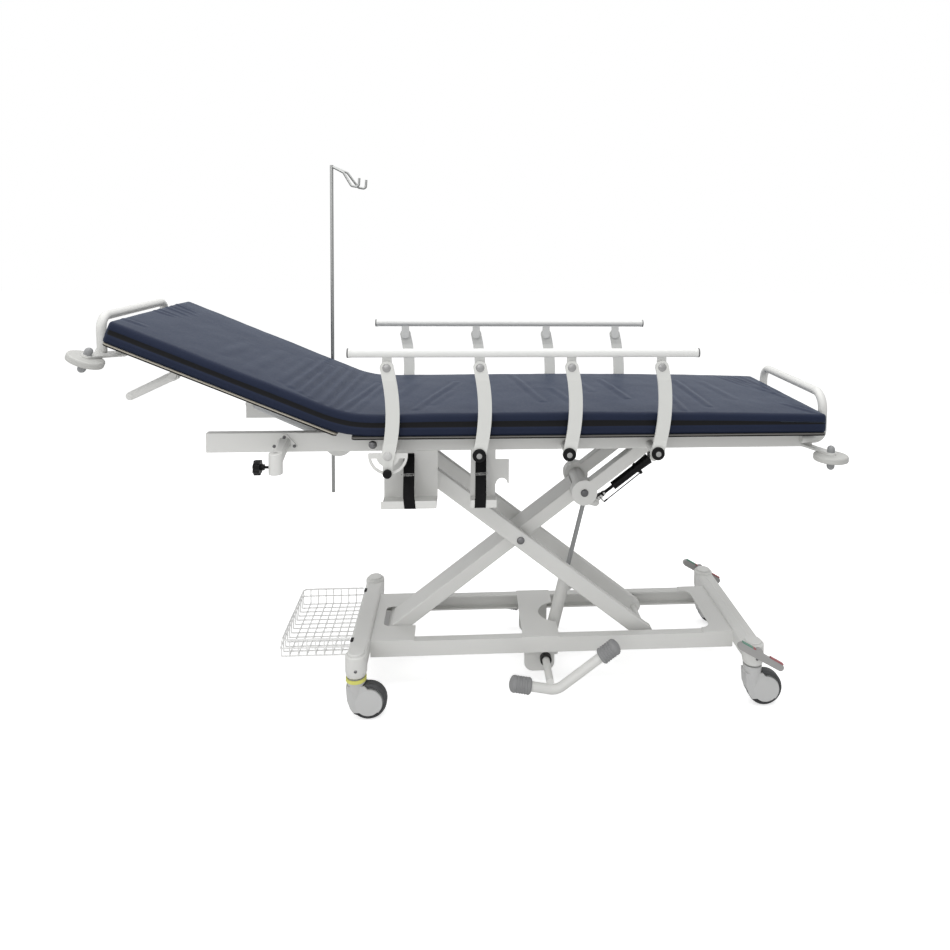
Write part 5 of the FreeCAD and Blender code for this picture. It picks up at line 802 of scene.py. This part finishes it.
    def _shape(self, s: float, y: float, z: float, creases: list[Crease]) -> Vector:
        """Where a point of the flat block goes on the folded, crowned mattress."""
        across = y / self.half_width
        near_end = min((self.foot_length - s), (s + self.head_length))
        end_fade = min(1.0, near_end / 0.09)
        belly = (1.0 - across ** 4) * end_fade
        up = z / self.thickness
        ripple = noise.noise(Vector((s * 9.0, y * 9.0, 3.0))) * 0.0012
        ripple += noise.noise(Vector((s * 26.0, y * 17.0, 9.0))) * 0.0006
        lift = 0.0
        if up > 0.6:
            lift = self.crown * belly + ripple * up
            along_seat = min(1.0, max(0.0, s / self.foot_length))
            lift += self.long_crown * math.sin(math.pi * along_seat) - self.foot_wear * along_seat ** 4
            lift += sum(c.lift(s, y) for c in creases) * min(1.0, (1.0 - abs(across)) * 14.0)
        swell = math.sin(math.pi * up) * 0.0024
        slack = noise.noise(Vector((s * 7.0, 5.0, up * 2.0))) * 0.0012
        pulled = y - math.copysign(self.pull_in, y) * abs(across) ** 6
        pulled += math.copysign(swell + slack * abs(across), y) * abs(across) ** 8
        if abs(across) > 0.985:
            pulled -= math.copysign(self._groove(up), y)
        return self._fold(s, pulled, z + lift)

    @staticmethod
    def _groove(up: float) -> float:
        """How far the side goes in at a height: the zip band lies back under its flap."""
        rise = min(1.0, max(0.0, (up - 0.40) / 0.03))
        fall = min(1.0, max(0.0, (0.68 - up) / 0.03))
        return 0.0022 * rise * fall

    def _fold(self, s: float, y: float, z: float) -> Vector:
        """Bends the flat mattress over the hinge, its underside lying on the boards."""
        reach = self.fold_reach
        t = min(1.0, max(0.0, (reach - s) / (2 * reach)))
        steps = 24
        x, height = HINGE[0] + max(s, reach) if s > reach else HINGE[0] + reach, 0.0
        if s < reach:
            run = (reach - max(s, -reach)) / steps
            for index in range(steps):
                part = (index + 0.5) / steps * t
                angle = TILT * part * part * (3.0 - 2.0 * part)
                x -= run * math.cos(angle)
                height += run * math.sin(angle)
            if s < -reach:
                x -= (-reach - s) * math.cos(TILT)
                height += (-reach - s) * math.sin(TILT)
        angle = TILT * t * t * (3.0 - 2.0 * t)
        base = HINGE[2] + self.lift_off + height
        return Vector((x + z * math.sin(angle), y, base + z * math.cos(angle)))


@dataclass
class HolderStraps:
    """Black webbing across the two bottle holders, each with a slider and a folded end."""

    middles: tuple[float, ...] = (-0.177, 0.023)
    width: float = 0.030
    thick: float = 0.0026
    path: tuple[tuple[float, float], ...] = (
        (-0.1908, 0.7318), (-0.2030, 0.7190), (-0.2300, 0.6905), (-0.2600, 0.6580), (-0.2786, 0.6375),
        (-0.2790, 0.6260), (-0.2790, 0.6100), (-0.2787, 0.6062),
    )

    def build(self, material: bpy.types.Material, metal: bpy.types.Material) -> None:
        """Makes both straps and their sliders.

        Args:
            material: The webbing's finish.
            metal: The sliders' finish.
        """
        for index, middle in enumerate(self.middles):
            strap = Workbench.piece(self._band(middle, index), f"holder_strap_{index + 1}", material)
            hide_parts("holder_straps")
            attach(strap, "deck")
            slider = Workbench.piece(self._slider(middle), f"strap_slider_{index + 1}", metal)
            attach(slider, "deck")

    def _band(self, middle: float, index: int) -> bmesh.types.BMesh:
        """One strap: a strip of faces along the path, thickened."""
        mesh = bmesh.new()
        half = self.width / 2
        start = [mesh.verts.new((x, *self.path[0])) for x in (middle - half, middle + half)]
        edge = mesh.edges.new(start)
        lean = 0.003 if index == 0 else -0.001
        for before, after in zip(self.path, self.path[1:]):
            step = Vector((lean / 2, after[0] - before[0], after[1] - before[1]))
            made = bmesh.ops.extrude_edge_only(mesh, edges=[edge])["geom"]
            verts = [g for g in made if isinstance(g, bmesh.types.BMVert)]
            bmesh.ops.translate(mesh, verts=verts, vec=step)
            edges = [g for g in made if isinstance(g, bmesh.types.BMEdge)]
            edge = next(e for e in edges if all(v in verts for v in e.verts))
        uv = mesh.loops.layers.uv.new("cover")
        for face in mesh.faces:
            for loop in face.loops:
                loop[uv].uv = (loop.vert.co.z, loop.vert.co.x)
        bmesh.ops.recalc_face_normals(mesh, faces=mesh.faces)
        bmesh.ops.solidify(mesh, geom=list(mesh.faces), thickness=self.thick)
        long_edges = [e for e in mesh.edges if e.calc_length() > 0.02]
        bmesh.ops.subdivide_edges(mesh, edges=long_edges, cuts=5, use_grid_fill=True)
        return mesh

    def _slider(self, middle: float) -> bmesh.types.BMesh:
        """Thin wire slider across the strap."""
        mesh = bmesh.new()
        half = self.width / 2 + 0.0016
        y, z = -0.2348, 0.6868
        rise = 0.0034
        corners = [
            Vector((middle - half, y, z)), Vector((middle + half, y, z + 0.001)),
            Vector((middle + half, y - 0.003, z - rise)), Vector((middle - half, y - 0.003, z - rise)),
        ]
        for first, second in zip(corners, corners[1:] + corners[:1]):
            Workbench.tube(mesh, first, second, (0.0009, 0.0009), 8)
        return mesh


@dataclass
class SpringTrim:
    """Cover of the black spring's upper end, its collar and the two release rods beside it."""

    high: tuple[float, float] = (0.559, 0.660)
    low: tuple[float, float] = (0.380, 0.521)

    def build(self, black: bpy.types.Material, steel: bpy.types.Material) -> None:
        """Makes the cover, the rods and the small fittings of the head.

        Args:
            black: Finish of the cover and rods.
            steel: Finish of the fittings.
        """
        along = Vector((self.low[0] - self.high[0], 0.0, self.low[1] - self.high[1])).normalized()
        top = Vector((self.high[0], 0.0, self.high[1]))
        cover = bmesh.new()
        Workbench.tube(cover, top + along * 0.014, top + along * 0.060, (0.0165, 0.0138), 32)
        Workbench.tube(cover, top + along * 0.058, top + along * 0.068, (0.0152, 0.0152), 32)
        side = Vector((along.z, 0.0, -along.x))
        block = top + along * 0.060
        Workbench.tube(cover, block - side * 0.012, block - side * 0.024, (0.006, 0.005), 16)
        piece = Workbench.piece(cover, "spring_cover", black, False)
        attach(piece, "upper_arms")
        rods = bmesh.new()
        for way, y in ((-1.0, -0.011), (1.0, 0.011)):
            offset = side * (0.0185 * way) + Vector((0.0, y, 0.0))
            start, end = top + along * 0.056 + offset * 0.9, top + along * 0.200 + offset
            Workbench.tube(rods, start, end, (0.0017, 0.0017), 10)
            start, end = top + along * 0.192 + offset, top + along * 0.206 + offset
            Workbench.tube(rods, start, end, (0.0026, 0.0026), 10)
            link = top + along * 0.061 + offset * 0.9
            Workbench.tube(rods, link, link - offset * 0.4, (0.0024, 0.0024), 10)
        piece = Workbench.piece(rods, "release_rods", black)
        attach(piece, "upper_arms")
        fittings = bmesh.new()
        head = Vector((self.low[0], 0.0, self.low[1]))
        for shift, radius in ((0.016, 0.0115), (0.0235, 0.0105)):
            middle = head - along * shift
            half = Vector((0, 0.0125, 0))
            Workbench.tube(fittings, middle - half, middle + half, (radius * 0.55, radius * 0.55), 6)
        lever = head - along * 0.020
        Workbench.tube(fittings, lever - side * 0.004, lever - side * 0.021, (0.0028, 0.0022), 10)
        Workbench.tube(fittings, head - along * 0.034, head - along * 0.040, (0.0082, 0.0082), 6)
        piece = Workbench.piece(fittings, "spring_head_fittings", steel, False)
        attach(piece, "tilt_spring_rod")


@dataclass
class BaseTrim:
    """Clips and screws on the base."""

    def build(self, black: bpy.types.Material, dark: bpy.types.Material) -> None:
        """Makes the small trim of the base.

        Args:
            black: Finish of the basket clips.
            dark: Finish of the screws.
        """
        clips = bmesh.new()
        for y in (-0.150, 0.150):
            matrix = Matrix.Translation((-0.3405, y, 0.1787)) @ Matrix.Diagonal((0.0085, 0.020, 0.0030, 1.0))
            bmesh.ops.create_cube(clips, size=1.0, matrix=matrix)
        Workbench.bevel(clips, list(clips.edges), 0.0008, 2)
        piece = Workbench.piece(clips, "basket_clips", black, False)
        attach(piece, "base")
        screws = bmesh.new()
        for x in (-0.318, 0.806):
            for side in (-1.0, 1.0):
                start = Vector((x + 0.002, side * 0.2570, 0.147))
                Workbench.tube(screws, start, start + Vector((0.0, side * 0.0016, 0.0)), (0.0046, 0.0043), 16)
        piece = Workbench.piece(screws, "column_screws", dark)
        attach(piece, "base")


@dataclass
class RailTrim:
    """Screws in the side rails and the plugs of the rail ends."""

    spots: tuple[float, ...] = (-0.1365, -0.0858, 0.4213, 0.4720)

    def build(self, dark: bpy.types.Material, paint: bpy.types.Material) -> None:
        """Makes the countersunk screws and end plugs.

        Args:
            dark: Finish of the screws.
            paint: Finish of the end plugs.
        """
        screws = bmesh.new()
        for x in self.spots:
            for side in (-1.0, 1.0):
                start = Vector((x, side * 0.2028, 0.7875))
                Workbench.tube(screws, start, start + Vector((0.0, side * 0.0010, 0.0)), (0.0030, 0.0022), 14)
        piece = Workbench.piece(screws, "rail_screws", dark)
        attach(piece, "deck")
        plugs = bmesh.new()
        for side in (-1.0, 1.0):
            middle = (-0.7194, side * 0.1905, 0.769)
            matrix = Matrix.Translation(middle) @ Matrix.Diagonal((0.004, 0.0242, 0.0532, 1.0))
            bmesh.ops.create_cube(plugs, size=1.0, matrix=matrix)
        Workbench.bevel(plugs, list(plugs.edges), 0.0012, 2)
        piece = Workbench.piece(plugs, "rail_end_plugs", paint, False)
        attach(piece, "deck")


@dataclass
class Studio:
    """White sweep, soft lamps and the camera at the photograph's angle."""

    lens: float = 28.66
    shift: tuple[float, float] = (-0.0465, -0.205)
    eye: Point = (-0.0286, -2.2703, 1.3522)
    yaw: float = math.radians(4.222)
    pitch: float = math.radians(3.771)
    roll: float = math.radians(0.610)

    def build(self) -> None:
        """Makes the floor, the world, the lamps and the camera."""
        self._floor()
        self._world()
        self._lamp("overhead", (0.0, -0.2, 3.4), (0.0, 0.0, 0.0), 4.2, 95.0)
        self._lamp("front", (-1.2, -4.2, 2.4), (0.1, 0.0, 0.6), 3.0, 42.0)
        self._lamp("left", (-4.2, -1.0, 2.2), (0.0, 0.0, 0.6), 2.6, 22.0)
        self._camera()
        bpy.context.scene.view_settings.view_transform = "Standard"

    def _camera(self) -> None:
        """The camera, turned as the photograph's."""
        forward = Vector((math.sin(self.yaw), math.cos(self.yaw), 0.0))
        right = Vector((math.cos(self.yaw), -math.sin(self.yaw), 0.0))
        ahead = forward * math.cos(self.pitch) - Vector((0, 0, 1)) * math.sin(self.pitch)
        up = right.cross(ahead)
        side = right * math.cos(self.roll) + up * math.sin(self.roll)
        top = up * math.cos(self.roll) - right * math.sin(self.roll)
        data = bpy.data.cameras.new("camera")
        data.lens = self.lens
        data.sensor_width = 36.0
        data.shift_x, data.shift_y = self.shift
        data.clip_start, data.clip_end = 0.05, 60.0
        camera = bpy.data.objects.new("camera", data)
        turn = Matrix((side, top, -ahead)).transposed().to_4x4()
        camera.matrix_world = Matrix.Translation(self.eye) @ turn
        bpy.context.scene.collection.objects.link(camera)
        bpy.context.scene.camera = camera

    def _lamp(self, name: str, place: Point, aim: Point, size: float, power: float) -> None:
        """One square area lamp.

        Args:
            name: The lamp's name.
            place: Where it stands.
            aim: The point it faces.
            size: Its side in metres.
            power: Its power in watts.
        """
        data = bpy.data.lights.new(name, "AREA")
        data.shape = "SQUARE"
        data.size = size
        data.energy = power
        lamp = bpy.data.objects.new(name, data)
        lamp.location = place
        lamp.rotation_euler = (Vector(place) - Vector(aim)).to_track_quat("Z", "Y").to_euler()
        bpy.context.scene.collection.objects.link(lamp)

    def _floor(self) -> None:
        """White floor that keeps the soft shadow."""
        mesh = bmesh.new()
        bmesh.ops.create_grid(mesh, x_segments=2, y_segments=2, size=14.0)
        tree = FinishTree("white_floor")
        ray = tree.node("ShaderNodeLightPath", output="Is Camera Ray")
        diffuse = tree.node("ShaderNodeBsdfDiffuse", {}, {"Color": (0.86, 0.86, 0.86, 1.0)})
        glow = tree.node("ShaderNodeEmission", {}, {"Color": (1.0, 1.0, 1.0, 1.0), "Strength": 0.60})
        both = tree.node("ShaderNodeAddShader", {}, {0: diffuse, 1: glow})
        mixed = tree.node("ShaderNodeMixShader", {}, {0: ray, 1: diffuse, 2: both})
        tree.node_output(mixed)
        floor = Workbench.piece(mesh, "studio_floor", tree.material, False)

    def _world(self) -> None:
        """White surroundings, full white to the camera and in reflections."""
        world = bpy.data.worlds.new("surroundings")
        bpy.context.scene.world = world
        world.use_nodes = True
        nodes, links = world.node_tree.nodes, world.node_tree.links
        nodes.clear()
        path = nodes.new("ShaderNodeLightPath")
        shiny = nodes.new("ShaderNodeMath")
        shiny.operation = "MAXIMUM"
        links.new(path.outputs["Is Transmission Ray"], shiny.inputs[0])
        links.new(path.outputs["Is Glossy Ray"], shiny.inputs[1])
        total = nodes.new("ShaderNodeMath")
        total.operation = "MAXIMUM"
        links.new(path.outputs["Is Camera Ray"], total.inputs[0])
        links.new(shiny.outputs[0], total.inputs[1])
        dim = nodes.new("ShaderNodeBackground")
        dim.inputs["Strength"].default_value = 0.50
        bright = nodes.new("ShaderNodeBackground")
        bright.inputs["Color"].default_value = (1.0, 1.0, 1.0, 1.0)
        bright.inputs["Strength"].default_value = 1.0
        dim.inputs["Color"].default_value = (1.0, 1.0, 1.0, 1.0)
        mixed = nodes.new("ShaderNodeMixShader")
        links.new(total.outputs[0], mixed.inputs[0])
        links.new(dim.outputs[0], mixed.inputs[1])
        links.new(bright.outputs[0], mixed.inputs[2])
        out = nodes.new("ShaderNodeOutputWorld")
        links.new(mixed.outputs[0], out.inputs["Surface"])


def main() -> None:
    """Builds the looks in order."""
    logging.basicConfig(level=logging.INFO)
    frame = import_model()
    wardrobe = Wardrobe()
    wardrobe.dress(frame["nodes"])
    Studio().build()
    Mattress().build(wardrobe.get(CoatedCloth("navy_cover")))
    steel = wardrobe.get(Metal("bright_fittings", (0.55, 0.55, 0.54), 0.28))
    dark = wardrobe.get(Metal("dark_bolt", (0.20, 0.20, 0.205), 0.38))
    black = wardrobe.get(Plastic("knob_black", BLACK, 0.36, shine=BLACK_SHINE))
    HolderStraps().build(wardrobe.get(Webbing("strap_black")), steel)
    SpringTrim().build(wardrobe.get(Plastic("spring_black", BLACK, 0.33, shine=BLACK_SHINE)), steel)
    BaseTrim().build(black, dark)
    RailTrim().build(dark, wardrobe.get(Paint("off_white_coat", OFF_WHITE)))


if __name__ == "__main__":
    main()
